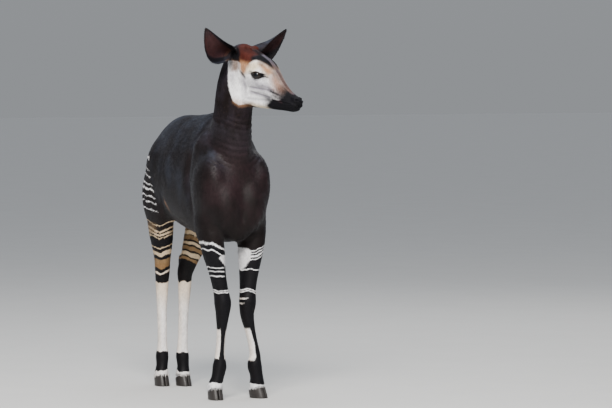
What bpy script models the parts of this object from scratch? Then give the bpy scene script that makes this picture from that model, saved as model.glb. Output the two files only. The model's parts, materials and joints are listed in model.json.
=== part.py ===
"""Okapi, a slender young female, standing square and looking to its left.

Metres, +Z up. The animal faces -Y and its left side is +X. The origin is on the floor
under the middle of the whole animal. Flesh is modelled as closed lofts and muscle
masses, fused and smoothed, then parted with thin cuts where the named parts meet.
"""

import math
import random

import bmesh
import bpy
from mathutils import Matrix, Vector
from mathutils.bvhtree import BVHTree

# Thin gap between neighbouring parts
GAP = 0.0003

# Heights above the floor
WITHERS_HEIGHT = 1.296
BACK_HEIGHT = 1.279
CROUP_HEIGHT = 1.275
CHEST_BOTTOM = 0.705
BELLY_BOTTOM = 0.742
HOCK_HEIGHT = 0.535
KNEE_HEIGHT = 0.435
FETLOCK_HEIGHT = 0.150
CORONET_HEIGHT = 0.048

# Places along the body, front to back
CHEST_Y = -0.440
SHOULDER_Y = -0.295
HIP_Y = 0.300
RUMP_Y = 0.462

# Half widths
RIB_HALF_WIDTH = 0.168
SHOULDER_HALF_WIDTH = 0.109
HIP_HALF_WIDTH = 0.092

# Head: place of the poll, turn to the left of the body, eyes and ears
POLL = Vector((0.000, -0.405, 1.600))
HEAD_TURN = math.radians(29.0)
EYE_RADIUS = 0.0245
EYE_ALONG = 0.133
EYE_DROP = 0.140
EYE_SIDE = 0.0510
LID_THICKNESS = 0.0042
EAR_HALF_WIDTH = 0.055
EAR_THICKNESS = 0.006

# Feet: middle of each hoof on the floor and its turn, in degrees to the animal's left
HOOVES = {
    "fore_right": (-0.082, -0.312, -4.0),
    "fore_left": (0.130, -0.312, 24.0),
    "hind_right": (-0.048, 0.395, -3.0),
    "hind_left": (0.045, 0.352, 6.0),
}
CLAW_LENGTH = 0.086
CLAW_WIDTH = 0.033
CLAW_CLEFT = 0.0045
CORONET_SLOPE = math.radians(17.0)

# Tail: middle of its root on the rump, the end of the dock and the tuft's hair locks
TAIL_ROOT = Vector((0.0, 0.484, 1.130))
TAIL_OUTWARD = Vector((0.0, 0.80, -0.60))
DOCK_END_HEIGHT = 0.900
TUFT_LOCKS = 15
TUFT_LENGTH = 0.105
TUFT_SEED = 7

# Places where the flesh is parted
NECK_CUT = Vector((0.0, -0.300, 1.168))
NECK_CUT_UP = Vector((0.0, -0.650, 0.760))
FORE_CUT_HEIGHT = 0.698
HIND_CUT_HEIGHT = 0.735

# Fineness of the fused flesh, and faces kept
BODY_VOXEL = 0.0085
HEAD_VOXEL = 0.0038
BODY_FACES = 4600
HEAD_FACES = 2300
TRUNK_BLENDING = 30

FORWARD = Vector((math.sin(HEAD_TURN), -math.cos(HEAD_TURN), 0.0))
LEFTWARD = Vector((math.cos(HEAD_TURN), math.sin(HEAD_TURN), 0.0))
UP = Vector((0.0, 0.0, 1.0))


def clear_scene():
    """Remove every object of the starting scene."""
    for thing in list(bpy.data.objects):
        bpy.data.objects.remove(thing, do_unlink=True)


def new_collection(name):
    """Make a collection in the scene."""
    collection = bpy.data.collections.new(name)
    bpy.context.scene.collection.children.link(collection)
    return collection


def material(name, color, roughness, metallic=0.0):
    """Make a plain Principled material."""
    made = bpy.data.materials.new(name)
    made.use_nodes = True
    made.diffuse_color = (*color, 1.0)
    shader = made.node_tree.nodes["Principled BSDF"]
    shader.inputs["Base Color"].default_value = (*color, 1.0)
    shader.inputs["Roughness"].default_value = roughness
    shader.inputs["Metallic"].default_value = metallic
    return made


def mesh_object(name, mesh, collection):
    """Link a mesh as an object of a collection."""
    thing = bpy.data.objects.new(name, mesh)
    collection.objects.link(thing)
    return thing


def spline(keys, count):
    """Smooth values through rows of key values, as many as count, ends kept."""
    rows = [tuple(key) for key in keys]
    last = len(rows) - 1
    result = []
    for step in range(count):
        place = last * step / (count - 1)
        first = min(int(place), last - 1)
        t = place - first
        before = rows[max(first - 1, 0)]
        start = rows[first]
        end = rows[first + 1]
        after = rows[min(first + 2, last)]
        value = []
        for p0, p1, p2, p3 in zip(before, start, end, after):
            bend = 2 * p0 - 5 * p1 + 4 * p2 - p3
            twist = 3 * p1 - p0 - 3 * p2 + p3
            value.append(0.5 * (2 * p1 + (p2 - p0) * t + bend * t * t + twist * t**3))
        result.append(tuple(value))
    return result


def loft(name, rings, collection):
    """Close a skin over rings of equally many points, with flat ends."""
    work = bmesh.new()
    rows = [[work.verts.new(point) for point in ring] for ring in rings]
    sides = len(rows[0])
    for lower, upper in zip(rows, rows[1:]):
        for index in range(sides):
            after = (index + 1) % sides
            work.faces.new((lower[index], lower[after], upper[after], upper[index]))
    work.faces.new(rows[0][::-1])
    work.faces.new(rows[-1])
    bmesh.ops.recalc_face_normals(work, faces=work.faces)
    mesh = bpy.data.meshes.new(name)
    work.to_mesh(mesh)
    work.free()
    return mesh_object(name, mesh, collection)


def squarish(angle, power):
    """Point of a unit superellipse, from a plain round at power 1 to squarer below."""
    side = math.copysign(abs(math.cos(angle)) ** power, math.cos(angle))
    rise = math.copysign(abs(math.sin(angle)) ** power, math.sin(angle))
    return side, rise


def limb(name, keys, collection, sides=20, steps=40, turn=0.0):
    """Tube through (x, y, z, half width, half depth) keys, with level rings."""
    side = Vector((math.cos(turn), math.sin(turn), 0.0))
    rings = []
    rows = spline(keys, steps)
    for index, (x, y, z, half_width, half_depth) in enumerate(rows):
        before = Vector(rows[max(index - 1, 0)][:3])
        after = Vector(rows[min(index + 1, steps - 1)][:3])
        along = (after - before).normalized()
        across = (side - along * side.dot(along)).normalized()
        deep = along.cross(across)
        ring = []
        for corner in range(sides):
            angle = math.tau * corner / sides
            offset = across * math.cos(angle) * half_width + deep * math.sin(angle) * half_depth
            ring.append(Vector((x, y, z)) + offset)
        rings.append(ring)
    return loft(name, rings, collection)


def egg(name, centre, radii, collection, tilt=(0.0, 0.0, 0.0)):
    """Ellipsoid with its radii along its own axes, turned by tilt in degrees."""
    work = bmesh.new()
    bmesh.ops.create_uvsphere(work, u_segments=20, v_segments=12, radius=1.0)
    turn = Matrix.Identity(4)
    for axis, degrees in zip("XYZ", tilt):
        turn = Matrix.Rotation(math.radians(degrees), 4, axis) @ turn
    place = Matrix.Translation(Vector(centre)) @ turn @ Matrix.Diagonal((*radii, 1.0))
    bmesh.ops.transform(work, matrix=place, verts=work.verts)
    mesh = bpy.data.meshes.new(name)
    work.to_mesh(mesh)
    work.free()
    return mesh_object(name, mesh, collection)


def trunk(collection):
    """Barrel from the chest front to the rump, deepest behind the elbows."""
    keys = [
        (CHEST_Y + 0.030, 1.040, 0.830, 0.085),
        (-0.360, 1.160, 0.760, 0.128),
        (-0.285, 1.250, CHEST_BOTTOM + 0.004, 0.150),
        (-0.180, WITHERS_HEIGHT, CHEST_BOTTOM, 0.158),
        (-0.060, BACK_HEIGHT + 0.006, BELLY_BOTTOM - 0.024, RIB_HALF_WIDTH),
        (0.080, BACK_HEIGHT - 0.002, BELLY_BOTTOM, RIB_HALF_WIDTH + 0.006),
        (0.205, CROUP_HEIGHT, BELLY_BOTTOM + 0.030, RIB_HALF_WIDTH - 0.004),
        (HIP_Y, 1.254, 0.830, 0.150),
        (0.385, 1.206, 0.890, 0.118),
        (RUMP_Y - 0.012, 1.130, 0.975, 0.062),
    ]
    rings = []
    for y, top, bottom, half_width in spline(keys, 44):
        middle = bottom + (top - bottom) * 0.46
        ring = []
        for corner in range(32):
            side, rise = squarish(math.tau * corner / 32, 0.92)
            reach = (top - middle) if rise > 0 else (middle - bottom)
            narrow = 1.0 - 0.30 * max(rise, 0.0) ** 2
            ring.append(Vector((side * half_width * narrow, y, middle + rise * reach)))
        rings.append(ring)
    loft("trunk", rings, collection)


def neck_shape(collection):
    """Upright neck, flared at the shoulders and slimmest behind the jaw."""
    keys = [
        (0.000, -0.215, 0.960, 0.132, 0.160),
        (0.000, -0.250, 1.060, 0.122, 0.155),
        (-0.005, -0.285, 1.130, 0.106, 0.142),
        (-0.010, -0.318, 1.200, 0.088, 0.122),
        (-0.012, -0.342, 1.280, 0.082, 0.110),
        (-0.012, -0.358, 1.340, 0.079, 0.107),
        (-0.012, -0.372, 1.420, 0.071, 0.100),
        (-0.004, -0.388, 1.500, 0.060, 0.084),
        (0.010, -0.415, 1.560, 0.045, 0.058),
    ]
    limb("neck_shape", keys, collection, sides=28, steps=48, turn=math.radians(6.0))


def muscle_masses(collection):
    """Shoulders, chest and haunches that give the trunk its form."""
    for side in (-1, 1):
        shoulder = (SHOULDER_HALF_WIDTH * side, SHOULDER_Y, 0.955)
        haunch = (HIP_HALF_WIDTH * side, 0.268, 1.020)
        egg("blade", (0.086 * side, -0.220, 1.065), (0.066, 0.115, 0.150), collection, (-16, 0, 0))
        egg("shoulder", shoulder, (0.070, 0.120, 0.165), collection, (10, 0, 0))
        egg("breast", (0.058 * side, -0.362, 0.890), (0.080, 0.082, 0.140), collection, (-6, 0, 0))
        egg("elbow", (0.108 * side, -0.275, 0.800), (0.060, 0.085, 0.115), collection, (-10, 0, 0))
        egg("haunch", haunch, (0.074, 0.135, 0.165), collection, (24, 0, 0))
        egg("thigh", (0.090 * side, 0.335, 0.905), (0.072, 0.118, 0.170), collection, (4, 0, 0))
        egg("stifle", (0.092 * side, 0.245, 0.845), (0.056, 0.070, 0.105), collection, (26, 0, 0))
        egg("seat", (0.058 * side, 0.395, 1.020), (0.060, 0.062, 0.125), collection, (8, 0, 0))
    egg("keel", (0.0, -0.360, 0.800), (0.080, 0.075, 0.090), collection, (-8, 0, 0))


def fore_leg(name, side, knee, fetlock, collection):
    """Fore leg from the elbow down to the coronet of its hoof."""
    hoof_x, hoof_y, turn = HOOVES[name]
    foot = math.radians(turn)
    back = Vector((-math.sin(foot), math.cos(foot))) * 0.012
    elbow = 0.102 * side
    keys = [
        (elbow, -0.280, 0.860, 0.058, 0.085),
        (elbow, -0.292, 0.760, 0.057, 0.078),
        (elbow * 0.72 + knee[0] * 0.28, -0.300, 0.665, 0.051, 0.066),
        (elbow * 0.42 + knee[0] * 0.58, -0.306, 0.575, 0.038, 0.052),
        (elbow * 0.14 + knee[0] * 0.86, -0.312, 0.495, 0.0345, 0.042),
        (knee[0], knee[1], KNEE_HEIGHT, 0.0395, 0.0405),
        (knee[0], knee[1] + 0.004, KNEE_HEIGHT - 0.060, 0.031, 0.034),
        ((knee[0] + fetlock[0]) / 2, knee[1] + 0.010, 0.290, 0.0215, 0.0265),
        (fetlock[0], fetlock[1] - 0.004, FETLOCK_HEIGHT + 0.050, 0.0235, 0.028),
        (fetlock[0], fetlock[1], FETLOCK_HEIGHT, 0.0325, 0.0355),
        ((fetlock[0] + hoof_x) / 2, (fetlock[1] + hoof_y) / 2 + 0.002, 0.100, 0.0295, 0.032),
        (hoof_x + back[0], hoof_y + back[1], CORONET_HEIGHT + 0.012, 0.034, 0.038),
        (hoof_x + back[0] * 0.6, hoof_y + back[1] * 0.6, 0.020, 0.034, 0.038),
    ]
    limb(name + "_shape", keys, collection, steps=60, turn=foot)
    cap = (knee[0], knee[1] - 0.006, KNEE_HEIGHT + 0.004)
    egg(name + "_knee", cap, (0.035, 0.036, 0.040), collection)


def hind_leg(name, side, hock, fetlock, flex, collection):
    """Hind leg from the stifle over the bent hock down to the coronet."""
    hoof_x, hoof_y, turn = HOOVES[name]
    foot = math.radians(turn)
    back = Vector((-math.sin(foot), math.cos(foot))) * 0.012
    stifle = 0.093 * side
    keys = [
        (stifle, 0.310, 0.960, 0.060, 0.110),
        (stifle, 0.318 - flex * 0.03, 0.860, 0.060, 0.110),
        (stifle * 0.7 + hock[0] * 0.3, hock[1] - flex * 0.115, 0.765, 0.058, 0.098),
        (stifle * 0.45 + hock[0] * 0.55, hock[1] - flex * 0.082, 0.680, 0.049, 0.078),
        (stifle * 0.2 + hock[0] * 0.8, hock[1] - flex * 0.042, 0.605, 0.038, 0.056),
        (hock[0], hock[1], HOCK_HEIGHT, 0.034, 0.047),
        (hock[0], hock[1] + 0.004, HOCK_HEIGHT - 0.060, 0.030, 0.038),
        ((hock[0] + fetlock[0]) / 2, (hock[1] + fetlock[1]) / 2 + 0.004, 0.330, 0.023, 0.0285),
        (fetlock[0], fetlock[1] - 0.002, FETLOCK_HEIGHT + 0.045, 0.0235, 0.029),
        (fetlock[0], fetlock[1], FETLOCK_HEIGHT - 0.008, 0.031, 0.0355),
        ((fetlock[0] + hoof_x) / 2, (fetlock[1] + hoof_y) / 2 + 0.003, 0.095, 0.0285, 0.031),
        (hoof_x + back[0], hoof_y + back[1], CORONET_HEIGHT + 0.012, 0.033, 0.037),
        (hoof_x + back[0] * 0.6, hoof_y + back[1] * 0.6, 0.020, 0.033, 0.037),
    ]
    limb(name + "_shape", keys, collection, steps=64, turn=foot)
    heel = (hock[0], hock[1] + 0.036, HOCK_HEIGHT + 0.045)
    egg(name + "_hock_point", heel, (0.018, 0.023, 0.042), collection, (-8, 0, 0))
    cord = (hock[0] + 0.006 * side, hock[1] + 0.020 - flex * 0.010, HOCK_HEIGHT + 0.115)
    egg(name + "_hock_cord", cord, (0.015, 0.024, 0.095), collection, (8 + flex * 12, 0, 0))


def in_head(along, side, drop):
    """World point from the head's own measures: forward and left of the poll, and below it."""
    return POLL + FORWARD * along + LEFTWARD * side - UP * drop


def head_shape(collection):
    """Wedge of the skull and muzzle, as fanned sections from the nape to the lips."""
    keys = [
        # top along, top drop, bottom along, bottom drop, half widths low, middle, high
        (-0.056, 0.040, -0.053, 0.175, 0.030, 0.040, 0.030),
        (-0.024, 0.006, -0.032, 0.215, 0.036, 0.052, 0.046),
        (0.030, 0.000, -0.004, 0.262, 0.042, 0.060, 0.058),
        (0.080, 0.024, 0.032, 0.280, 0.042, 0.064, 0.066),
        (0.128, 0.050, 0.077, 0.285, 0.038, 0.066, 0.070),
        (0.172, 0.078, 0.120, 0.288, 0.034, 0.058, 0.060),
        (0.206, 0.120, 0.163, 0.291, 0.031, 0.047, 0.043),
        (0.238, 0.165, 0.203, 0.295, 0.029, 0.039, 0.031),
        (0.268, 0.200, 0.242, 0.298, 0.028, 0.035, 0.026),
        (0.300, 0.225, 0.274, 0.301, 0.028, 0.034, 0.024),
        (0.322, 0.240, 0.300, 0.301, 0.025, 0.032, 0.022),
        (0.333, 0.256, 0.313, 0.291, 0.018, 0.024, 0.016),
    ]
    rings = []
    for row in spline(keys, 44):
        top = in_head(row[0], 0.0, row[1])
        bottom = in_head(row[2], 0.0, row[3])
        low, middle, high = row[4:]
        profile = [
            (0.0, 0.0),
            (0.55, low * 0.80),
            (2.4, low * 1.12),
            (5.0, middle),
            (7.6, high),
            (9.3, high * 0.74),
            (10.0, 0.0),
        ]
        edge = spline(profile, 19)
        ring = [bottom.lerp(top, rise / 10.0) + LEFTWARD * width for rise, width in edge]
        far = [bottom.lerp(top, rise / 10.0) - LEFTWARD * width for rise, width in edge[1:-1]]
        rings.append(ring + far[::-1])
    loft("skull", rings, collection)


def head_egg(name, along, side, drop, radii, collection, pitch=0.0, yaw=0.0):
    """Ellipsoid in the head's own measures: radii run forward, sideways and up."""
    work = bmesh.new()
    bmesh.ops.create_uvsphere(work, u_segments=20, v_segments=12, radius=1.0)
    axes = Matrix((FORWARD, LEFTWARD, UP)).transposed().to_4x4()
    tilt = Matrix.Rotation(math.radians(pitch), 4, "Y") @ Matrix.Rotation(math.radians(yaw), 4, "Z")
    place = Matrix.Translation(in_head(along, side, drop)) @ axes @ tilt
    bmesh.ops.transform(work, matrix=place @ Matrix.Diagonal((*radii, 1.0)), verts=work.verts)
    bmesh.ops.recalc_face_normals(work, faces=work.faces)
    mesh = bpy.data.meshes.new(name)
    work.to_mesh(mesh)
    work.free()
    return mesh_object(name, mesh, collection)


def head_features(collection):
    """Brows, cheeks, jaw, nose pad, lips, ear roots and the low forehead knobs."""
    for side in (-1, 1):
        head_egg("brow", 0.132, 0.056 * side, 0.108, (0.034, 0.016, 0.018), collection, 32)
        head_egg("lower_rim", 0.142, 0.053 * side, 0.172, (0.034, 0.013, 0.014), collection, 20)
        head_egg("cheek", 0.058, 0.036 * side, 0.208, (0.064, 0.020, 0.062), collection, 20)
        head_egg("cheek_bone", 0.176, 0.037 * side, 0.176, (0.056, 0.014, 0.018), collection, 40)
        head_egg("nostril_wing", 0.314, 0.019 * side, 0.250, (0.020, 0.012, 0.013), collection, 35)
        head_egg("upper_lip", 0.282, 0.021 * side, 0.266, (0.048, 0.013, 0.017), collection, 14)
        head_egg("ear_root", 0.004, 0.040 * side, 0.056, (0.030, 0.024, 0.028), collection)
        head_egg("knob", 0.062, 0.026 * side, 0.020, (0.020, 0.014, 0.011), collection, 22)
    head_egg("chin", 0.290, 0.0, 0.290, (0.036, 0.024, 0.013), collection)


def fuse(collection, name, voxel, faces, smoothing, blended):
    """Fuse a collection's closed shapes into one smooth mesh with few faces."""
    joined = bmesh.new()
    for thing in list(collection.objects):
        joined.from_mesh(thing.data)
        bpy.data.objects.remove(thing, do_unlink=True)
    mesh = bpy.data.meshes.new(name)
    joined.to_mesh(mesh)
    joined.free()
    thing = mesh_object(name, mesh, collection)
    remesh = thing.modifiers.new("fuse", "REMESH")
    remesh.mode = "VOXEL"
    remesh.voxel_size = voxel
    smooth = thing.modifiers.new("smooth", "SMOOTH")
    smooth.factor = 0.5
    smooth.iterations = smoothing
    apply_all(thing)
    if blended:
        soften_trunk(thing)
    sparse = thing.modifiers.new("sparse", "DECIMATE")
    sparse.ratio = min(1.0, faces / triangle_count(thing.data))
    apply_all(thing)
    return thing


def soften_trunk(thing):
    """Blend the muscle masses into the trunk, and leave the slim legs as they are."""
    group = thing.vertex_groups.new(name="trunk")
    for vert in thing.data.vertices:
        weight = min(max((vert.co.z - 0.66) / 0.16, 0.0), 1.0)
        group.add([vert.index], weight, "REPLACE")
    blend = thing.modifiers.new("blend", "SMOOTH")
    blend.factor = 0.5
    blend.iterations = TRUNK_BLENDING
    blend.vertex_group = "trunk"
    apply_all(thing)


def triangle_count(mesh):
    """Number of triangles that a mesh's faces split into."""
    return sum(len(face.vertices) - 2 for face in mesh.polygons)


def apply_all(thing):
    """Turn an object's modifiers into its mesh."""
    graph = bpy.context.evaluated_depsgraph_get()
    graph.update()
    mesh = bpy.data.meshes.new_from_object(thing.evaluated_get(graph))
    thing.modifiers.clear()
    old = thing.data
    thing.data = mesh
    bpy.data.meshes.remove(old)


def boolean(thing, other, operation, solver="EXACT"):
    """Join, cut or keep the overlap of two closed meshes."""
    step = thing.modifiers.new(operation.lower(), "BOOLEAN")
    step.operation = operation
    step.solver = solver
    step.object = other
    apply_all(thing)


def copy_of(thing, name, collection):
    """Second object with its own copy of a mesh."""
    return mesh_object(name, thing.data.copy(), collection)


def keep_largest(thing):
    """Keep only the largest closed surface of a mesh, in triangles."""
    work = bmesh.new()
    work.from_mesh(thing.data)
    bmesh.ops.triangulate(work, faces=work.faces)
    groups = []
    seen = set()
    for start in work.verts:
        if start in seen:
            continue
        group = [start]
        seen.add(start)
        for vert in group:
            for edge in vert.link_edges:
                other = edge.other_vert(vert)
                if other not in seen:
                    seen.add(other)
                    group.append(other)
        groups.append(group)
    groups.sort(key=len)
    loose = [vert for group in groups[:-1] for vert in group]
    bmesh.ops.delete(work, geom=loose, context="VERTS")
    work.to_mesh(thing.data)
    work.free()


def slab(name, centre, normal, collection, thickness, reach):
    """Closed box with its first face's middle at centre, thickness along the normal."""
    work = bmesh.new()
    bmesh.ops.create_cube(work, size=1.0)
    turn = Vector(normal).to_track_quat("Z", "Y").to_matrix().to_4x4()
    lift = Matrix.Translation((0.0, 0.0, thickness / 2))
    place = Matrix.Translation(Vector(centre)) @ turn @ lift
    size = Matrix.Diagonal((reach, reach, thickness, 1.0))
    bmesh.ops.transform(work, matrix=place @ size, verts=work.verts)
    mesh = bpy.data.meshes.new(name)
    work.to_mesh(mesh)
    work.free()
    cutter = mesh_object(name, mesh, collection)
    cutter.hide_render = True
    cutter.display_type = "WIRE"
    return cutter


def split_off(whole, name, centre, normal, reach, depth, parts, cutters):
    """Part a whole at a plane: the side that the normal points to becomes a new object."""
    direction = Vector(normal).normalized()
    piece = copy_of(whole, name, parts)
    far = slab("far", Vector(centre) + direction * GAP / 2, direction, cutters, depth, reach)
    boolean(piece, far, "INTERSECT")
    keep_largest(piece)
    bpy.data.objects.remove(far, do_unlink=True)
    trim(whole, Vector(centre) - direction * GAP / 2, direction, reach, cutters, depth)
    return piece


def trim(thing, centre, normal, reach, cutters, depth=1.0):
    """Remove what lies beyond a plane, on the side that the normal points to."""
    direction = Vector(normal).normalized()
    away = slab("away", centre, direction, cutters, depth, reach)
    boolean(thing, away, "DIFFERENCE")
    keep_largest(thing)
    bpy.data.objects.remove(away, do_unlink=True)


def claw_outline(half_width, length, inward):
    """Half-moon sole of one claw: straight on the cleft side, round and pointed outside."""
    points = []
    steps = 14
    for index in range(steps):
        angle = math.pi * index / (steps - 1)
        along = math.cos(angle) * length / 2
        bulge = abs(math.sin(angle)) ** 0.75
        lean = 0.30 * (along / length + 0.5) * half_width
        points.append((inward * (half_width - bulge * 2 * half_width) + inward * lean * bulge, along))
    return points


def claw(name, hoof, side, collection):
    """One hoof claw: flat sole on the floor, walls sloping back to a slanted coronet."""
    hoof_x, hoof_y, turn = HOOVES[hoof]
    foot = math.radians(turn)
    ahead = Vector((math.sin(foot), -math.cos(foot), 0.0))
    left = Vector((math.cos(foot), math.sin(foot), 0.0))
    middle = Vector((hoof_x, hoof_y, 0.0)) + left * side * (CLAW_WIDTH + CLAW_CLEFT) / 2
    rings = []
    for rise, scale, shift in ((0.0, 1.0, 0.0), (0.35, 0.96, -0.0045), (0.7, 0.90, -0.0095), (1.0, 0.84, -0.014)):
        ring = []
        for across, along in claw_outline(CLAW_WIDTH / 2 * (0.55 + 0.45 * scale), CLAW_LENGTH * scale, -side):
            forward = along + shift
            top = CORONET_HEIGHT + math.tan(CORONET_SLOPE) * forward
            ring.append(middle + left * across + ahead * forward + UP * top * rise)
        rings.append(ring)
    return loft(name, rings, collection)


def coronet_plane(hoof):
    """A point and the upward normal of the slanted top of a hoof."""
    hoof_x, hoof_y, turn = HOOVES[hoof]
    foot = math.radians(turn)
    ahead = Vector((math.sin(foot), -math.cos(foot), 0.0))
    point = Vector((hoof_x, hoof_y, CORONET_HEIGHT))
    normal = (UP * math.cos(CORONET_SLOPE) - ahead * math.sin(CORONET_SLOPE)).normalized()
    return point, normal


def ear_point(base, tip, facing, bow, along, across, lift):
    """Point on an ear: a leaf rolled to a tube at its root and opening to a cup."""
    spine = tip - base
    axis = spine.normalized()
    front = (facing - axis * facing.dot(axis)).normalized()
    side = axis.cross(front)
    leaf = max(math.sin(math.pi * max(along, 0.0) ** 0.86), 0.0) ** 0.76
    width = EAR_HALF_WIDTH * (0.93 * leaf + 0.36 * min(1 - along, 1.0) ** 3)
    roll = math.radians(118.0) * (1 - max(along, 0.0)) ** 1.5 + math.radians(30.0)
    angle = across * roll
    radius = width / max(math.sin(min(roll, math.pi / 2)), 0.2)
    place = base + spine * along + bow * math.sin(math.pi * along)
    sag = radius * (1 - math.cos(angle)) - radius * 0.45 * (1 - math.cos(roll))
    normal = side * math.sin(angle) - front * math.cos(angle)
    return place + side * radius * math.sin(angle) + front * sag + normal * lift


def ear(name, base, tip, facing, bow, collection):
    """Thin cupped ear: outer and inner skins from the same leaf, closed along the rim."""
    lengthwise = 11
    crosswise = 9
    work = bmesh.new()
    skins = []
    for outside in (1.0, -1.0):
        grid = []
        for row in range(lengthwise):
            along = -0.05 + 1.035 * row / (lengthwise - 1)
            thick = EAR_THICKNESS * (1.0 - 0.62 * along) / 2
            line = []
            for column in range(crosswise):
                across = 2.0 * column / (crosswise - 1) - 1.0
                lift = outside * thick * (1.0 - 0.45 * abs(across) ** 3)
                line.append(work.verts.new(ear_point(base, tip, facing, bow, along, across, lift)))
            grid.append(line)
        skins.append(grid)
    outer, inner = skins
    for row in range(lengthwise - 1):
        for column in range(crosswise - 1):
            for grid in (outer, inner):
                a, b = grid[row][column], grid[row][column + 1]
                c, d = grid[row + 1][column + 1], grid[row + 1][column]
                work.faces.new((a, b, c))
                work.faces.new((a, c, d))
        for column in (0, crosswise - 1):
            near = (outer[row][column], outer[row + 1][column])
            work.faces.new((*near, inner[row + 1][column], inner[row][column]))
    for row in (0, lengthwise - 1):
        for column in range(crosswise - 1):
            near = (outer[row][column], outer[row][column + 1])
            work.faces.new((*near, inner[row][column + 1], inner[row][column]))
    bmesh.ops.triangulate(work, faces=[face for face in work.faces if len(face.verts) > 3])
    bmesh.ops.recalc_face_normals(work, faces=work.faces)
    mesh = bpy.data.meshes.new(name)
    work.to_mesh(mesh)
    work.free()
    return mesh_object(name, mesh, collection)


def eye_centre(side):
    """Middle of an eyeball."""
    return in_head(EYE_ALONG, EYE_SIDE * side, EYE_DROP)


def ball(name, centre, radius, collection):
    """Closed sphere."""
    work = bmesh.new()
    bmesh.ops.create_icosphere(work, subdivisions=3, radius=radius)
    bmesh.ops.translate(work, vec=centre, verts=work.verts)
    mesh = bpy.data.meshes.new(name)
    work.to_mesh(mesh)
    work.free()
    return mesh_object(name, mesh, collection)


def lid(name, side, upper, collection):
    """Rim of skin along the upper or lower edge of the eye opening."""
    centre = eye_centre(side)
    gaze = (LEFTWARD * side * 0.93 + FORWARD * 0.30 + UP * 0.05).normalized()
    slant = (FORWARD * 0.94 - UP * 0.34).normalized()
    along = (slant - gaze * slant.dot(gaze)).normalized()
    over = gaze.cross(along) * side
    half_height = math.radians(29.0) if upper else math.radians(-26.0)
    half_length = math.radians(64.0)
    steps = 8
    rings = []
    for step in range(steps):
        t = 2.0 * step / (steps - 1) - 1.0
        turn = half_length * t
        lift = half_height * (1.0 - t * t)
        out = gaze * math.cos(turn) * math.cos(lift) + along * math.sin(turn) + over * math.sin(lift)
        out.normalize()
        ahead = (along * math.cos(turn) - gaze * math.sin(turn)).normalized()
        rise = out.cross(ahead).normalized()
        thick = LID_THICKNESS * (0.55 + 0.45 * (1.0 - t * t))
        middle = centre + out * (EYE_RADIUS + 0.0012)
        ring = []
        for corner in range(6):
            angle = math.tau * corner / 6
            ring.append(middle + rise * math.cos(angle) * thick + out * math.sin(angle) * thick * 0.75)
        rings.append(ring)
    return loft(name, rings, collection)


def surface_point(tree, along, drop, swing, side):
    """Point on the head's skin, seen from its middle line towards the side or the front."""
    out = LEFTWARD * side * math.cos(swing) + FORWARD * math.sin(swing)
    start = in_head(along, 0.0, drop) + out * 0.2
    return tree.ray_cast(start, -out)[0]


def mouth_groove(head, collection):
    """Thin bent rod along the lips, from one corner of the mouth round to the other."""
    tree = BVHTree.FromObject(head, bpy.context.evaluated_depsgraph_get())
    keys = [
        (0.192, 0.249, 0.0),
        (0.226, 0.2555, 5.0),
        (0.258, 0.261, 12.0),
        (0.280, 0.268, 28.0),
        (0.290, 0.273, 55.0),
        (0.292, 0.275, 90.0),
    ]
    half = spline(keys, 8)
    points = [surface_point(tree, a, d, math.radians(swing), -1) for a, d, swing in half]
    points += [surface_point(tree, a, d, math.radians(swing), 1) for a, d, swing in half[-2::-1]]
    rings = []
    for index, point in enumerate(points):
        ahead = (points[min(index + 1, len(points) - 1)] - points[max(index - 1, 0)]).normalized()
        out = ahead.cross(UP).normalized()
        rise = out.cross(ahead)
        ring = []
        for corner in range(4):
            angle = math.tau * corner / 4
            ring.append(point + rise * math.cos(angle) * 0.0011 + out * math.sin(angle) * 0.0035)
        rings.append(ring)
    return loft("mouth_line", rings, collection)


def nostril_hollow(side, collection):
    """Slanted hollow of one nostril."""
    return head_egg("nostril", 0.327, 0.0205 * side, 0.2515, (0.0105, 0.0070, 0.0048), collection, 28, -30 * side)


def carve_head(head, parts, cutters):
    """Lids, eye sockets, nostrils and the line of the mouth."""
    rims = new_collection("rims")
    for side in (-1, 1):
        lid("upper_lid", side, True, rims)
        lid("lower_lid", side, False, rims)
    for thing in list(rims.objects):
        boolean(head, thing, "UNION")
        bpy.data.objects.remove(thing, do_unlink=True)
    hollows = [nostril_hollow(side, cutters) for side in (-1, 1)]
    hollows.append(mouth_groove(head, cutters))
    hollows += [ball("socket", eye_centre(side), EYE_RADIUS + GAP, cutters) for side in (-1, 1)]
    for thing in hollows:
        boolean(head, thing, "DIFFERENCE", "MANIFOLD")
        bpy.data.objects.remove(thing, do_unlink=True)
    keep_largest(head)
    for label, side in (("left", 1), ("right", -1)):
        ball("eye_" + label, eye_centre(side), EYE_RADIUS, parts)


def tail_root(collection):
    """Flesh of the croup that narrows into the tail."""
    outer = TAIL_ROOT + TAIL_OUTWARD * 0.020
    keys = [
        (0.0, HIP_Y + 0.040, 1.120, 0.070, 0.068),
        (0.0, RUMP_Y - 0.040, 1.138, 0.046, 0.040),
        (*TAIL_ROOT, 0.027, 0.025),
        (*outer, 0.024, 0.023),
    ]
    limb("tail_root", keys, collection, steps=10)


def tuft_lock(root, around, drop, rng, collection):
    """One flat, tapered lock of the tail's tuft, rooted in the dock and bending inwards."""
    out = Vector((math.cos(around), math.sin(around), 0.0))
    across = Vector((-out.y, out.x, 0.0))
    length = TUFT_LENGTH * rng.uniform(0.80, 1.10)
    sway = rng.uniform(-0.012, 0.012)
    rings = []
    steps = 5
    for step in range(steps + 1):
        t = step / steps
        bulge = 0.004 + 0.010 * math.sin(math.pi * min(t * 1.10, 1.0)) - 0.004 * t * t
        middle = root + out * bulge + across * sway * t * t - UP * (drop + length * t)
        half_width = 0.0090 * (1.0 - 0.88 * t * t)
        half_thick = 0.0042 * (1.0 - 0.75 * t)
        ring = [
            middle + across * half_width,
            middle + out * half_thick,
            middle - across * half_width,
            middle - out * half_thick,
        ]
        rings.append(ring)
    loft("lock", rings, collection)


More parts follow.
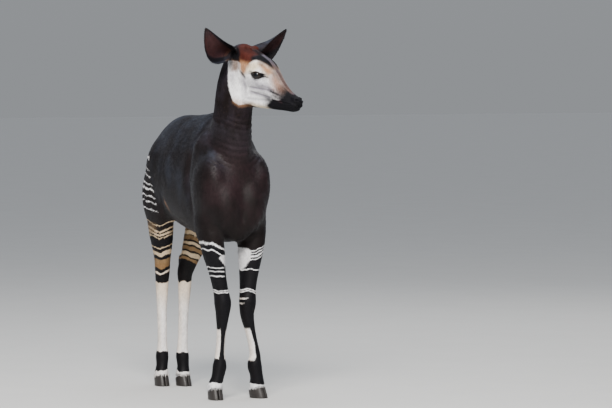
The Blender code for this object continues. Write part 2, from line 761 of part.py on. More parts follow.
def tail(parts, cutters):
    """Dock hanging from the rump, with a tuft of overlapping hair locks at its end."""
    start = TAIL_ROOT - TAIL_OUTWARD * 0.020
    bend = TAIL_ROOT + TAIL_OUTWARD * 0.030
    keys = [
        (*start, 0.021, 0.021),
        (*bend, 0.020, 0.019),
        (0.0, bend.y + 0.012, 1.060, 0.016, 0.016),
        (0.0, bend.y + 0.014, 0.985, 0.0125, 0.0125),
        (0.0, bend.y + 0.013, 0.940, 0.0115, 0.0115),
        (0.0, bend.y + 0.012, DOCK_END_HEIGHT, 0.0130, 0.0130),
        (0.0, bend.y + 0.012, DOCK_END_HEIGHT - 0.045, 0.0125, 0.0125),
        (0.0, bend.y + 0.012, DOCK_END_HEIGHT - 0.085, 0.0060, 0.0060),
    ]
    dock = limb("tail", keys, parts, sides=14, steps=22)
    trim(dock, TAIL_ROOT + TAIL_OUTWARD * GAP / 2, -TAIL_OUTWARD, 0.2, cutters, 0.1)
    locks = new_collection("locks")
    rng = random.Random(TUFT_SEED)
    root = Vector((0.0, bend.y + 0.012, DOCK_END_HEIGHT + 0.040))
    for index in range(TUFT_LOCKS):
        around = math.tau * (index * 0.382 + rng.uniform(-0.05, 0.05))
        tuft_lock(root, around, 0.045 * index / TUFT_LOCKS, rng, locks)
    step = dock.modifiers.new("join", "BOOLEAN")
    step.operation = "UNION"
    step.operand_type = "COLLECTION"
    step.collection = locks
    step.solver = "MANIFOLD"
    apply_all(dock)
    keep_largest(dock)
    for thing in list(locks.objects):
        bpy.data.objects.remove(thing, do_unlink=True)
    bpy.data.collections.remove(locks)


def cut_flesh(body, head, parts, cutters):
    """Part the fused flesh into the neck, head, ears and legs."""
    head_cut = in_head(0.015, 0.0, 0.305)
    head_cut_out = FORWARD * 0.838 + UP * 0.545
    neck = split_off(body, "neck", NECK_CUT, NECK_CUT_UP, 1.0, 1.0, parts, cutters)
    trim(neck, head_cut - head_cut_out * GAP / 2, head_cut_out, 1.0, cutters)
    trim(head, head_cut + head_cut_out * GAP / 2, -head_cut_out, 1.0, cutters)
    trim(body, TAIL_ROOT - TAIL_OUTWARD * GAP / 2, TAIL_OUTWARD, 0.064, cutters, 0.1)
    down = Vector((0.0, 0.0, -1.0))
    for label, side in (("right", -1), ("left", 1)):
        for pair, y, top, joint in (
            ("fore", -0.300, FORE_CUT_HEIGHT, KNEE_HEIGHT),
            ("hind", 0.360, HIND_CUT_HEIGHT, HOCK_HEIGHT - 0.035),
        ):
            hip = Vector((0.202 * side, y, top))
            upper = split_off(body, f"leg_{pair}_{label}_upper", hip, down, 0.40, 0.9, parts, cutters)
            mid = Vector((0.202 * side, y, joint))
            lower = split_off(upper, f"leg_{pair}_{label}_lower", mid, down, 0.5, 0.6, parts, cutters)
            point, normal = coronet_plane(f"{pair}_{label}")
            trim(lower, point + normal * GAP, -normal, 0.4, cutters)


def build():
    """Make every part, cut the flesh where the parts meet and name the pieces."""
    clear_scene()
    parts = new_collection("okapi")
    cutters = new_collection("cutters")
    workshop = new_collection("workshop")

    trunk(workshop)
    neck_shape(workshop)
    muscle_masses(workshop)
    fore_leg("fore_right", -1, (-0.052, -0.320), (-0.059, -0.300), workshop)
    fore_leg("fore_left", 1, (0.070, -0.320), (0.113, -0.300), workshop)
    hind_leg("hind_right", -1, (-0.043, 0.405), (-0.040, 0.416), 0.55, workshop)
    hind_leg("hind_left", 1, (0.056, 0.366), (0.045, 0.374), 1.0, workshop)
    tail_root(workshop)
    body = fuse(workshop, "torso", BODY_VOXEL, BODY_FACES, 4, True)
    parts.objects.link(body)
    workshop.objects.unlink(body)

    heads = new_collection("head_workshop")
    head_shape(heads)
    head_features(heads)
    neck_shape(heads)
    head = fuse(heads, "head", HEAD_VOXEL, HEAD_FACES, 15, False)
    parts.objects.link(head)
    heads.objects.unlink(head)

    right_root = in_head(0.002, -0.064, 0.050)
    left_root = in_head(0.012, 0.064, 0.052)
    right_tip = in_head(-0.056, -0.188, -0.069)
    left_tip = in_head(0.117, 0.188, -0.066)
    right_facing = FORWARD * 0.65 - LEFTWARD * 0.75
    left_facing = FORWARD * 0.30 - LEFTWARD * 0.30 - UP * 0.6
    right_bow = -LEFTWARD * 0.023 - UP * 0.036
    left_bow = LEFTWARD * 0.010 - UP * 0.016
    ears = (
        ("ear_right", right_root, right_tip, right_facing, right_bow),
        ("ear_left", left_root, left_tip, left_facing, left_bow),
    )
    for name, root, tip, facing, bow in ears:
        shell = ear(name + "_shell", root, tip, facing, bow, cutters)
        boolean(head, shell, "UNION")
        bpy.data.objects.remove(shell, do_unlink=True)
        side = 1 if name == "ear_left" else -1
        outward = LEFTWARD * side * 0.84 + UP * 0.54
        split_off(head, name, in_head(0.005, 0.064 * side, 0.050), outward, 0.40, 0.30, parts, cutters)

    cut_flesh(body, head, parts, cutters)
    carve_head(head, parts, cutters)
    for hoof in HOOVES:
        for label, side in (("left", 1), ("right", -1)):
            claw(f"hoof_{hoof}_{label}_claw", hoof, side, parts)
    tail(parts, cutters)
    finish(parts)


def finish(parts):
    """Shade, colour and centre the pieces, with the lowest faces on the floor."""
    finishes = {
        "eye": material("eye_dark", (0.012, 0.010, 0.010), 0.08),
        "hoof": material("hoof_horn", (0.090, 0.075, 0.065), 0.45),
        "leg": material("leg_coat", (0.300, 0.260, 0.220), 0.65),
        "hide": material("hide_coat", (0.050, 0.026, 0.020), 0.60),
    }
    corners = [vert.co for thing in parts.objects for vert in thing.data.vertices]
    middle_x = (min(c.x for c in corners) + max(c.x for c in corners)) / 2
    middle_y = (min(c.y for c in corners) + max(c.y for c in corners)) / 2
    for thing in parts.objects:
        thing.data.materials.clear()
        thing.data.materials.append(finishes.get(thing.name.split("_")[0], finishes["hide"]))
        thing.data.shade_smooth()
        thing.data.set_sharp_from_angle(angle=math.radians(50.0))
        thing.location = (-middle_x, -middle_y, 0.0)


if __name__ == "__main__":
    build()
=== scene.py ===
"""Okapi: skin, coat, eyes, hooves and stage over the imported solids.

Design metres, +Z up, the animal faces -Y and its left is +X. The forms are laid out
from the same measures as the solids and moved onto them at the end.
"""

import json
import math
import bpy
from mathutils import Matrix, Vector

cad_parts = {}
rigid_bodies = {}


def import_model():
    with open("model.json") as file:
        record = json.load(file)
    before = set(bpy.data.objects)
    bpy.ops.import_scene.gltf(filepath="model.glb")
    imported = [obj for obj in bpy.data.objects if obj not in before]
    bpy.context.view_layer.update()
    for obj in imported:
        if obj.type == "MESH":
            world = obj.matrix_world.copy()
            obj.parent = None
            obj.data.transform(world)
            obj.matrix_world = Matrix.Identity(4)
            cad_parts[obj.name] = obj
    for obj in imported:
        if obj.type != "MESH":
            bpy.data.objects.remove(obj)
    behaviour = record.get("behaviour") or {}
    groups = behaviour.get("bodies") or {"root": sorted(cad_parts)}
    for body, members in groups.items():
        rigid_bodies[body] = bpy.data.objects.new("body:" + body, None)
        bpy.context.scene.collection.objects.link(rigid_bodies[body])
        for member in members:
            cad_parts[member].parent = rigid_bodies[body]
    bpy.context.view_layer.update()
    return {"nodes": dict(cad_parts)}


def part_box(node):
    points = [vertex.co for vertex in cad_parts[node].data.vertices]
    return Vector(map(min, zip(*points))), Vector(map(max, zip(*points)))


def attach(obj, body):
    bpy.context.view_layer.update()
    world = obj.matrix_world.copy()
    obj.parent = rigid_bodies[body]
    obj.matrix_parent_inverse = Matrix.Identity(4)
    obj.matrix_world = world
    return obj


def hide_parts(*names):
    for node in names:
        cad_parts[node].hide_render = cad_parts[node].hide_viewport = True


bl_info = {
    "name": "Okapi dressing",
    "version": (1, 0, 0),
    "blender": (4, 5, 0),
    "location": "View3D > Sidebar > Okapi",
    "description": "Builds the skin, the short coat, the eyes, the hooves and the studio of an okapi",
    "category": "Object",
}

import bmesh
import bpy
import numpy as np
from mathutils import Matrix, Vector
from mathutils.bvhtree import BVHTree

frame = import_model()

UP = Vector((0.0, 0.0, 1.0))

# Body, front to back and up, in design metres
WITHERS_HEIGHT = 1.296
BACK_HEIGHT = 1.279
CROUP_HEIGHT = 1.275
CHEST_BOTTOM = 0.705
BELLY_BOTTOM = 0.742
HOCK_HEIGHT = 0.535
KNEE_HEIGHT = 0.435
FETLOCK_HEIGHT = 0.150
CORONET_HEIGHT = 0.048
CHEST_Y = -0.440
SHOULDER_Y = -0.295
HIP_Y = 0.300
RUMP_Y = 0.462
RIB_HALF_WIDTH = 0.168
SHOULDER_HALF_WIDTH = 0.109
HIP_HALF_WIDTH = 0.092

# Head
POLL = Vector((0.000, -0.405, 1.600))
HEAD_TURN = math.radians(29.0)
EYE_RADIUS = 0.0245
EYE_ALONG = 0.133
EYE_DROP = 0.140
EYE_SIDE = 0.0510
LID_HALF_LENGTH = math.radians(74.0)
UPPER_LID_RISE = math.radians(40.0)
LOWER_LID_DROP = math.radians(33.0)
EAR_HALF_WIDTH = 0.055
EAR_THICKNESS = 0.006
FORWARD = Vector((math.sin(HEAD_TURN), -math.cos(HEAD_TURN), 0.0))
LEFTWARD = Vector((math.cos(HEAD_TURN), math.sin(HEAD_TURN), 0.0))

# Feet: middle of each hoof on the floor and its turn, in degrees to the animal's left
HOOVES = {
    "fore_right": (-0.082, -0.312, -4.0),
    "fore_left": (0.130, -0.312, 24.0),
    "hind_right": (-0.048, 0.395, -3.0),
    "hind_left": (0.045, 0.352, 6.0),
}
CORONET_SLOPE = math.radians(17.0)
LEG_SPLIT_X = 0.012
HOOF_VOXEL = 0.0019
FINE_RING_SPACING = 0.0062
WIDE_RING_SPACING = 0.0087

# Tail
TAIL_ROOT = Vector((0.0, 0.484, 1.130))
TAIL_OUTWARD = Vector((0.0, 0.80, -0.60))
DOCK_END_HEIGHT = 0.900
TUFT_LENGTH = 0.105
TUFT_LOWEST = 0.782
TUFT_SPACING = 0.0045

# Where the finely meshed head meets the coarser body, on the neck
JOIN_PLACE = Vector((0.0, -0.360, 1.280))
JOIN_UP = Vector((0.0, -0.316, 0.949)).normalized()

FLESH_NODES = ["torso", "neck", "head", "ear_left", "ear_right", "tail"]
FLESH_NODES += [
    f"leg_{pair}_{side}_{end}"
    for pair in ("fore", "hind")
    for side in ("left", "right")
    for end in ("upper", "lower")
]


def length_property(name, description, default):
    """Length setting of the panel, in metres."""
    return bpy.props.FloatProperty(name=name, description=description, default=default, unit="LENGTH")


def color_property(name, description, default):
    """Colour setting of the panel."""
    return bpy.props.FloatVectorProperty(
        name=name, description=description, default=default, size=3, min=0.0, max=1.0, subtype="COLOR"
    )


class OkapiCoat(bpy.types.PropertyGroup):
    """Sizes of the skin and of the short coat."""

    body_voxel: length_property("Body fineness", "Mesh size of the trunk and legs", 0.0079)
    head_voxel: length_property("Head fineness", "Mesh size of the head", 0.00345)
    body_depth: length_property("Body coat depth", "How far the trunk's skin lies under the coat", 0.0030)
    face_depth: length_property("Face coat depth", "How far the face's skin lies under the coat", 0.0010)
    body_hair: length_property("Body hair length", "Length of a tuft on the trunk", 0.019)
    leg_hair: length_property("Leg hair length", "Length of a tuft on the legs", 0.010)
    face_hair: length_property("Face hair length", "Length of a tuft on the face", 0.0065)
    density: bpy.props.FloatProperty(
        name="Density",
        description="Share of the full number of tufts",
        default=1.0,
        min=0.05,
        max=2.0,
        subtype="FACTOR",
    )
    seed: bpy.props.IntProperty(name="Seed", description="Seed of the tufts' places", default=11)


class OkapiColors(bpy.types.PropertyGroup):
    """Colours of the coat, horn, dust and floor."""

    dark: color_property("Dark coat", "Chocolate that is almost black", (0.0075, 0.0048, 0.0047))
    # Sky gloss: grey-blue painted on the coat's upper sides as a painted reflection of the sky
    blue: color_property("Sky gloss", "Grey-blue of the coat's upper sides", (0.026, 0.030, 0.043))
    # On the neck's sides this purplish brown serves as a painted highlight
    chest: color_property("Chest", "Purplish brown of chest and neck", (0.0160, 0.0082, 0.0094))
    rust: color_property("Rust", "Chestnut of the forehead's sides", (0.054, 0.0125, 0.0085))
    tan: color_property("Tan", "Warm tan of the face and legs", (0.340, 0.175, 0.090))
    sand: color_property("Sand", "Brownish gold of the hind legs' wide bands", (0.255, 0.172, 0.092))
    cream: color_property("Cream", "Warm white of the leg stripes", (0.700, 0.590, 0.430))
    white: color_property("White", "White of the cheeks and shanks", (0.860, 0.850, 0.862))
    # Sandy stain of the hind legs; on the sides of the lower legs the same tone is painted shade
    stain_and_shade: color_property("Stain", "Sandy stain that darkens the pale hair", (1.0, 0.760, 0.480))
    # The grey is painted shade on the white cheeks and in their folds, and a painted highlight on the black
    # nose ridge
    grey: color_property("Grey", "Cool grey of the cheek's folds", (0.180, 0.162, 0.200))
    black: color_property("Black", "Black of muzzle, knees and fetlocks", (0.0042, 0.0038, 0.0052))
    horn: color_property("Horn", "Grey-brown of the hooves", (0.019, 0.016, 0.015))
    dust: color_property("Dust", "Dust on the hooves", (0.040, 0.033, 0.028))
    floor: color_property("Floor", "Pale studio floor", (0.62, 0.61, 0.59))


def head_place(along, side, drop):
    """Point from the head's own measures: forward and left of the poll, and below it."""
    return POLL + FORWARD * along + LEFTWARD * side - UP * drop


def eye_centre(side):
    """Middle of an eyeball."""
    return head_place(EYE_ALONG, EYE_SIDE * side, EYE_DROP)


def shift_to_frame():
    """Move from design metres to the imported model's place, read from an eye."""
    low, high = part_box("eye_left")
    middle = (Vector(low) + Vector(high)) / 2
    return middle - eye_centre(1)


# Basic forms


def mesh_object(name, mesh, collection):
    """Link a mesh as an object of a collection."""
    thing = bpy.data.objects.new(name, mesh)
    collection.objects.link(thing)
    return thing


def from_bmesh(name, work, collection):
    """Turn a bmesh into an object and free it."""
    mesh = bpy.data.meshes.new(name)
    work.to_mesh(mesh)
    work.free()
    return mesh_object(name, mesh, collection)


def spline(keys, count):
    """Smooth values through rows of key values, as many as count, ends kept."""
    rows = [tuple(key) for key in keys]
    last = len(rows) - 1
    result = []
    for step in range(count):
        place = last * step / (count - 1)
        first = min(int(place), last - 1)
        t = place - first
        before = rows[max(first - 1, 0)]
        start = rows[first]
        end = rows[first + 1]
        after = rows[min(first + 2, last)]
        value = []
        for p0, p1, p2, p3 in zip(before, start, end, after):
            bend = 2 * p0 - 5 * p1 + 4 * p2 - p3
            twist = 3 * p1 - p0 - 3 * p2 + p3
            value.append(0.5 * (2 * p1 + (p2 - p0) * t + bend * t * t + twist * t**3))
        result.append(tuple(value))
    return result


def loft(name, rings, collection):
    """Close a skin over rings of equally many points, with flat ends."""
    work = bmesh.new()
    rows = [[work.verts.new(point) for point in ring] for ring in rings]
    sides = len(rows[0])
    for lower, upper in zip(rows, rows[1:]):
        for index in range(sides):
            after = (index + 1) % sides
            work.faces.new((lower[index], lower[after], upper[after], upper[index]))
    work.faces.new(rows[0][::-1])
    work.faces.new(rows[-1])
    bmesh.ops.recalc_face_normals(work, faces=work.faces)
    return from_bmesh(name, work, collection)


def squarish(angle, power):
    """Point of a unit superellipse, from a plain round at power 1 to squarer below."""
    side = math.copysign(abs(math.cos(angle)) ** power, math.cos(angle))
    rise = math.copysign(abs(math.sin(angle)) ** power, math.sin(angle))
    return side, rise


def limb(name, keys, collection, sides=28, steps=80, turn=0.0):
    """Tube through (x, y, z, half width, half depth) keys, with level rings."""
    side = Vector((math.cos(turn), math.sin(turn), 0.0))
    rings = []
    rows = spline(keys, steps)
    for index, (x, y, z, half_width, half_depth) in enumerate(rows):
        before = Vector(rows[max(index - 1, 0)][:3])
        after = Vector(rows[min(index + 1, steps - 1)][:3])
        along = (after - before).normalized()
        across = (side - along * side.dot(along)).normalized()
        deep = along.cross(across)
        ring = []
        for corner in range(sides):
            angle = math.tau * corner / sides
            offset = across * math.cos(angle) * half_width + deep * math.sin(angle) * half_depth
            ring.append(Vector((x, y, z)) + offset)
        rings.append(ring)
    return loft(name, rings, collection)


def ellipsoid(name, matrix, collection):
    """Ellipsoid from a unit ball and the matrix that places and stretches it."""
    work = bmesh.new()
    bmesh.ops.create_uvsphere(work, u_segments=32, v_segments=20, radius=1.0)
    bmesh.ops.transform(work, matrix=matrix, verts=work.verts)
    bmesh.ops.recalc_face_normals(work, faces=work.faces)
    return from_bmesh(name, work, collection)


def egg(name, centre, radii, tilt, collection):
    """Ellipsoid with its radii along its own axes, tilted about the sideways axis in degrees."""
    place = Matrix.Translation(Vector(centre)) @ Matrix.Rotation(math.radians(tilt), 4, "X")
    ellipsoid(name, place @ Matrix.Diagonal((*radii, 1.0)), collection)


def head_egg(name, along, side, drop, radii, pitch, collection):
    """Ellipsoid in the head's own measures: radii run forward, sideways and up."""
    axes = Matrix((FORWARD, LEFTWARD, UP)).transposed().to_4x4()
    tilt = Matrix.Rotation(math.radians(pitch), 4, "Y")
    place = Matrix.Translation(head_place(along, side, drop)) @ axes @ tilt
    ellipsoid(name, place @ Matrix.Diagonal((*radii, 1.0)), collection)


# The animal's forms


def trunk(collection):
    """Barrel from the chest front to the rump, deepest behind the elbows."""
    keys = [
        (CHEST_Y + 0.030, 1.040, 0.830, 0.085),
        (-0.360, 1.160, 0.760, 0.128),
        (-0.285, 1.250, CHEST_BOTTOM + 0.004, 0.150),
        (-0.180, WITHERS_HEIGHT, CHEST_BOTTOM, 0.158),
        (-0.060, BACK_HEIGHT + 0.006, BELLY_BOTTOM - 0.024, RIB_HALF_WIDTH),
        (0.080, BACK_HEIGHT - 0.002, BELLY_BOTTOM, RIB_HALF_WIDTH + 0.006),
        (0.205, CROUP_HEIGHT, BELLY_BOTTOM + 0.030, RIB_HALF_WIDTH - 0.004),
        (HIP_Y, 1.254, 0.830, 0.150),
        (0.385, 1.206, 0.890, 0.118),
        (RUMP_Y - 0.012, 1.130, 0.975, 0.062),
    ]
    rings = []
    for y, top, bottom, half_width in spline(keys, 90):
        middle = bottom + (top - bottom) * 0.46
        ring = []
        for corner in range(48):
            side, rise = squarish(math.tau * corner / 48, 0.92)
            reach = (top - middle) if rise > 0 else (middle - bottom)
            narrow = 1.0 - 0.30 * max(rise, 0.0) ** 2
            ring.append(Vector((side * half_width * narrow, y, middle + rise * reach)))
        rings.append(ring)
    loft("trunk", rings, collection)


def neck(collection):
    """Upright neck, flared at the shoulders and slimmest behind the jaw."""
    keys = [
        (0.000, -0.215, 0.960, 0.132, 0.160),
        (0.000, -0.250, 1.060, 0.122, 0.155),
        (-0.005, -0.285, 1.130, 0.106, 0.142),
        (-0.010, -0.318, 1.200, 0.088, 0.122),
        (-0.012, -0.342, 1.280, 0.082, 0.110),
        (-0.012, -0.358, 1.340, 0.079, 0.107),
        (-0.012, -0.372, 1.420, 0.071, 0.100),
        (-0.004, -0.388, 1.500, 0.060, 0.084),
        (0.010, -0.415, 1.560, 0.045, 0.058),
    ]
    limb("neck", keys, collection, sides=48, steps=96, turn=math.radians(6.0))


# Muscles of both sides: out from the middle, y and height, radii and tilt in degrees
MUSCLES = (
    ("blade", (0.086, -0.220, 1.065), (0.066, 0.115, 0.150), -16),
    ("shoulder", (SHOULDER_HALF_WIDTH, SHOULDER_Y, 0.955), (0.070, 0.120, 0.165), 10),
    ("breast", (0.058, -0.362, 0.890), (0.080, 0.082, 0.140), -6),
    ("elbow", (0.108, -0.275, 0.800), (0.060, 0.085, 0.115), -10),
    ("haunch", (HIP_HALF_WIDTH, 0.268, 1.020), (0.074, 0.135, 0.165), 24),
    ("thigh", (0.090, 0.335, 0.905), (0.072, 0.118, 0.170), 4),
    ("stifle", (0.092, 0.245, 0.845), (0.056, 0.070, 0.105), 26),
    ("seat", (0.058, 0.395, 1.020), (0.060, 0.062, 0.125), 8),
)


def muscles(collection):
    """Shoulders, chest and haunches that give the trunk its form."""
    for side in (-1, 1):
        for name, (out, y, height), radii, tilt in MUSCLES:
            egg(name, (out * side, y, height), radii, tilt, collection)
    egg("keel", (0.0, -0.360, 0.800), (0.080, 0.075, 0.090), -8, collection)


def fore_leg(name, side, knee, fetlock, collection):
    """Fore leg from the elbow down into the top of its hoof."""
    hoof_x, hoof_y, turn = HOOVES[name]
    foot = math.radians(turn)
    back = Vector((-math.sin(foot), math.cos(foot))) * 0.012
    elbow = 0.102 * side
    keys = [
        (elbow, -0.280, 0.860, 0.058, 0.085),
        (elbow, -0.292, 0.760, 0.057, 0.078),
        (elbow * 0.72 + knee[0] * 0.28, -0.300, 0.665, 0.051, 0.066),
        (elbow * 0.42 + knee[0] * 0.58, -0.306, 0.575, 0.038, 0.052),
        (elbow * 0.14 + knee[0] * 0.86, -0.312, 0.495, 0.0345, 0.042),
        (knee[0], knee[1], KNEE_HEIGHT, 0.0395, 0.0405),
        (knee[0], knee[1] + 0.004, KNEE_HEIGHT - 0.060, 0.031, 0.034),
        ((knee[0] + fetlock[0]) / 2, knee[1] + 0.010, 0.290, 0.0215, 0.0265),
        (fetlock[0], fetlock[1] - 0.004, FETLOCK_HEIGHT + 0.050, 0.0235, 0.028),
        (fetlock[0], fetlock[1], FETLOCK_HEIGHT, 0.0325, 0.0355),
        ((fetlock[0] + hoof_x) / 2, (fetlock[1] + hoof_y) / 2 + 0.002, 0.100, 0.0295, 0.032),
        (hoof_x + back[0], hoof_y + back[1], CORONET_HEIGHT + 0.012, 0.034, 0.038),
        (hoof_x + back[0] * 0.6, hoof_y + back[1] * 0.6, 0.020, 0.034, 0.038),
    ]
    limb(name, keys, collection, steps=110, turn=foot)
    egg(name + "_knee", (knee[0], knee[1] - 0.006, KNEE_HEIGHT + 0.004), (0.035, 0.036, 0.040), 0, collection)


def hind_leg(name, side, hock, fetlock, flex, collection):
    """Hind leg from the stifle over the bent hock down into its hoof."""
    hoof_x, hoof_y, turn = HOOVES[name]
    foot = math.radians(turn)
    back = Vector((-math.sin(foot), math.cos(foot))) * 0.012
    stifle = 0.093 * side
    keys = [
        (stifle, 0.310, 0.960, 0.060, 0.110),
        (stifle, 0.318 - flex * 0.03, 0.860, 0.060, 0.110),
        (stifle * 0.7 + hock[0] * 0.3, hock[1] - flex * 0.115, 0.765, 0.058, 0.098),
        (stifle * 0.45 + hock[0] * 0.55, hock[1] - flex * 0.082, 0.680, 0.049, 0.078),
        (stifle * 0.2 + hock[0] * 0.8, hock[1] - flex * 0.042, 0.605, 0.038, 0.056),
        (hock[0], hock[1], HOCK_HEIGHT, 0.034, 0.047),
        (hock[0], hock[1] + 0.004, HOCK_HEIGHT - 0.060, 0.030, 0.038),
        ((hock[0] + fetlock[0]) / 2, (hock[1] + fetlock[1]) / 2 + 0.004, 0.330, 0.023, 0.0285),
        (fetlock[0], fetlock[1] - 0.002, FETLOCK_HEIGHT + 0.045, 0.0235, 0.029),
        (fetlock[0], fetlock[1], FETLOCK_HEIGHT - 0.008, 0.031, 0.0355),
        ((fetlock[0] + hoof_x) / 2, (fetlock[1] + hoof_y) / 2 + 0.003, 0.095, 0.0285, 0.031),
        (hoof_x + back[0], hoof_y + back[1], CORONET_HEIGHT + 0.012, 0.033, 0.037),
        (hoof_x + back[0] * 0.6, hoof_y + back[1] * 0.6, 0.020, 0.033, 0.037),
    ]
    limb(name, keys, collection, steps=110, turn=foot)
    heel = (hock[0], hock[1] + 0.036, HOCK_HEIGHT + 0.045)
    egg(name + "_hock_point", heel, (0.018, 0.023, 0.042), -8, collection)
    cord = (hock[0] + 0.006 * side, hock[1] + 0.020 - flex * 0.010, HOCK_HEIGHT + 0.115)
    egg(name + "_hock_cord", cord, (0.015, 0.024, 0.095), 8 + flex * 12, collection)


def tail_root(collection):
    """Flesh of the croup that narrows into the tail."""
    outer = TAIL_ROOT + TAIL_OUTWARD * 0.020
    keys = [
        (0.0, HIP_Y + 0.040, 1.120, 0.070, 0.068),
        (0.0, RUMP_Y - 0.040, 1.138, 0.046, 0.040),
        (*TAIL_ROOT, 0.027, 0.025),
        (*outer, 0.024, 0.023),
    ]
    limb("tail_root", keys, collection, steps=20)


def dock(collection):
    """Bony part of the tail, from the rump to the middle of the tuft."""
    bend = TAIL_ROOT + TAIL_OUTWARD * 0.030
    keys = [
        (*(TAIL_ROOT - TAIL_OUTWARD * 0.020), 0.021, 0.021),
        (*bend, 0.020, 0.019),
        (0.0, bend.y + 0.012, 1.060, 0.016, 0.016),
        (0.0, bend.y + 0.014, 0.985, 0.0125, 0.0125),
        (0.0, bend.y + 0.013, 0.940, 0.0115, 0.0115),
        (0.0, bend.y + 0.012, DOCK_END_HEIGHT, 0.0120, 0.0120),
        (0.0, bend.y + 0.012, DOCK_END_HEIGHT - 0.045, 0.0100, 0.0100),
        (0.0, bend.y + 0.012, DOCK_END_HEIGHT - 0.075, 0.0060, 0.0060),
    ]
    limb("dock", keys, collection, sides=20, steps=40)


def skull(collection):
    """Wedge of the skull and muzzle, as fanned sections from the nape to the lips."""
    keys = [
        # top along, top drop, bottom along, bottom drop, half widths low, middle, high
        (-0.056, 0.040, -0.053, 0.175, 0.030, 0.040, 0.030),
        (-0.024, 0.006, -0.032, 0.215, 0.036, 0.052, 0.046),
        (0.030, 0.000, -0.004, 0.262, 0.042, 0.060, 0.058),
        (0.080, 0.024, 0.032, 0.280, 0.042, 0.064, 0.066),
        (0.128, 0.050, 0.077, 0.285, 0.038, 0.066, 0.070),
        (0.172, 0.078, 0.120, 0.288, 0.034, 0.058, 0.060),
        (0.206, 0.120, 0.163, 0.291, 0.031, 0.047, 0.043),
        (0.238, 0.165, 0.203, 0.295, 0.029, 0.039, 0.031),
        (0.268, 0.200, 0.242, 0.298, 0.028, 0.035, 0.026),
        (0.300, 0.225, 0.274, 0.301, 0.028, 0.034, 0.024),
        (0.322, 0.240, 0.300, 0.301, 0.025, 0.032, 0.022),
        (0.333, 0.256, 0.313, 0.291, 0.018, 0.024, 0.016),
    ]
    rings = []
    for row in spline(keys, 90):
        top = head_place(row[0], 0.0, row[1])
        bottom = head_place(row[2], 0.0, row[3])
        low, middle, high = row[4:]
        profile = [
            (0.0, 0.0),
            (0.55, low * 0.80),
            (2.4, low * 1.12),
            (5.0, middle),
            (7.6, high),
            (9.3, high * 0.74),
            (10.0, 0.0),
        ]
        edge = spline(profile, 31)
        ring = [bottom.lerp(top, rise / 10.0) + LEFTWARD * width for rise, width in edge]
        far = [bottom.lerp(top, rise / 10.0) - LEFTWARD * width for rise, width in edge[1:-1]]
        rings.append(ring + far[::-1])
    loft("skull", rings, collection)


# Forms of both sides of the head: forward, out and below the poll, radii and pitch in degrees
HEAD_FORMS = (
    ("brow", (0.132, 0.056, 0.108), (0.034, 0.016, 0.018), 32),
    ("lower_rim", (0.142, 0.053, 0.172), (0.034, 0.013, 0.014), 20),
    ("cheek", (0.058, 0.036, 0.208), (0.064, 0.020, 0.062), 20),
    ("cheek_bone", (0.176, 0.037, 0.176), (0.056, 0.014, 0.018), 40),
    ("nostril_wing", (0.314, 0.019, 0.250), (0.020, 0.012, 0.013), 35),
    ("upper_lip", (0.282, 0.021, 0.266), (0.048, 0.013, 0.017), 14),
    ("ear_root", (0.004, 0.040, 0.056), (0.030, 0.024, 0.028), 0),
    ("knob", (0.062, 0.026, 0.020), (0.020, 0.014, 0.011), 22),
)


def head_features(collection):
    """Brows, cheeks, jaw, nose pad, lips, ear roots and the low forehead knobs."""
    for side in (-1, 1):
        for name, (along, out, drop), radii, pitch in HEAD_FORMS:
            head_egg(name, along, out * side, drop, radii, pitch, collection)
    head_egg("chin", 0.290, 0.0, 0.290, (0.036, 0.024, 0.013), 0, collection)


def ear_point(base, tip, facing, bow, along, across, lift):
    """Point on an ear: a leaf rolled to a tube at its root and opening to a cup."""
    spine = tip - base
    axis = spine.normalized()
    front = (facing - axis * facing.dot(axis)).normalized()
    side = axis.cross(front)
    leaf = max(math.sin(math.pi * max(along, 0.0) ** 0.86), 0.0) ** 0.76
    width = EAR_HALF_WIDTH * (0.93 * leaf + 0.36 * min(1 - along, 1.0) ** 3)
    roll = math.radians(118.0) * (1 - max(along, 0.0)) ** 1.5 + math.radians(30.0)
    angle = across * roll
    radius = width / max(math.sin(min(roll, math.pi / 2)), 0.2)
    place = base + spine * along + bow * math.sin(math.pi * along)
    sag = radius * (1 - math.cos(angle)) - radius * 0.45 * (1 - math.cos(roll))
    normal = side * math.sin(angle) - front * math.cos(angle)
    return place + side * radius * math.sin(angle) + front * sag + normal * lift


EARS = {
    "ear_right": (
        head_place(0.002, -0.064, 0.050),
        head_place(-0.056, -0.188, -0.069),
        FORWARD * 0.65 - LEFTWARD * 0.75,
        -LEFTWARD * 0.023 - UP * 0.036,
    ),
    "ear_left": (
        head_place(0.012, 0.064, 0.052),
        head_place(0.117, 0.188, -0.066),
        FORWARD * 0.30 - LEFTWARD * 0.30 - UP * 0.6,
        LEFTWARD * 0.010 - UP * 0.016,
    ),
}


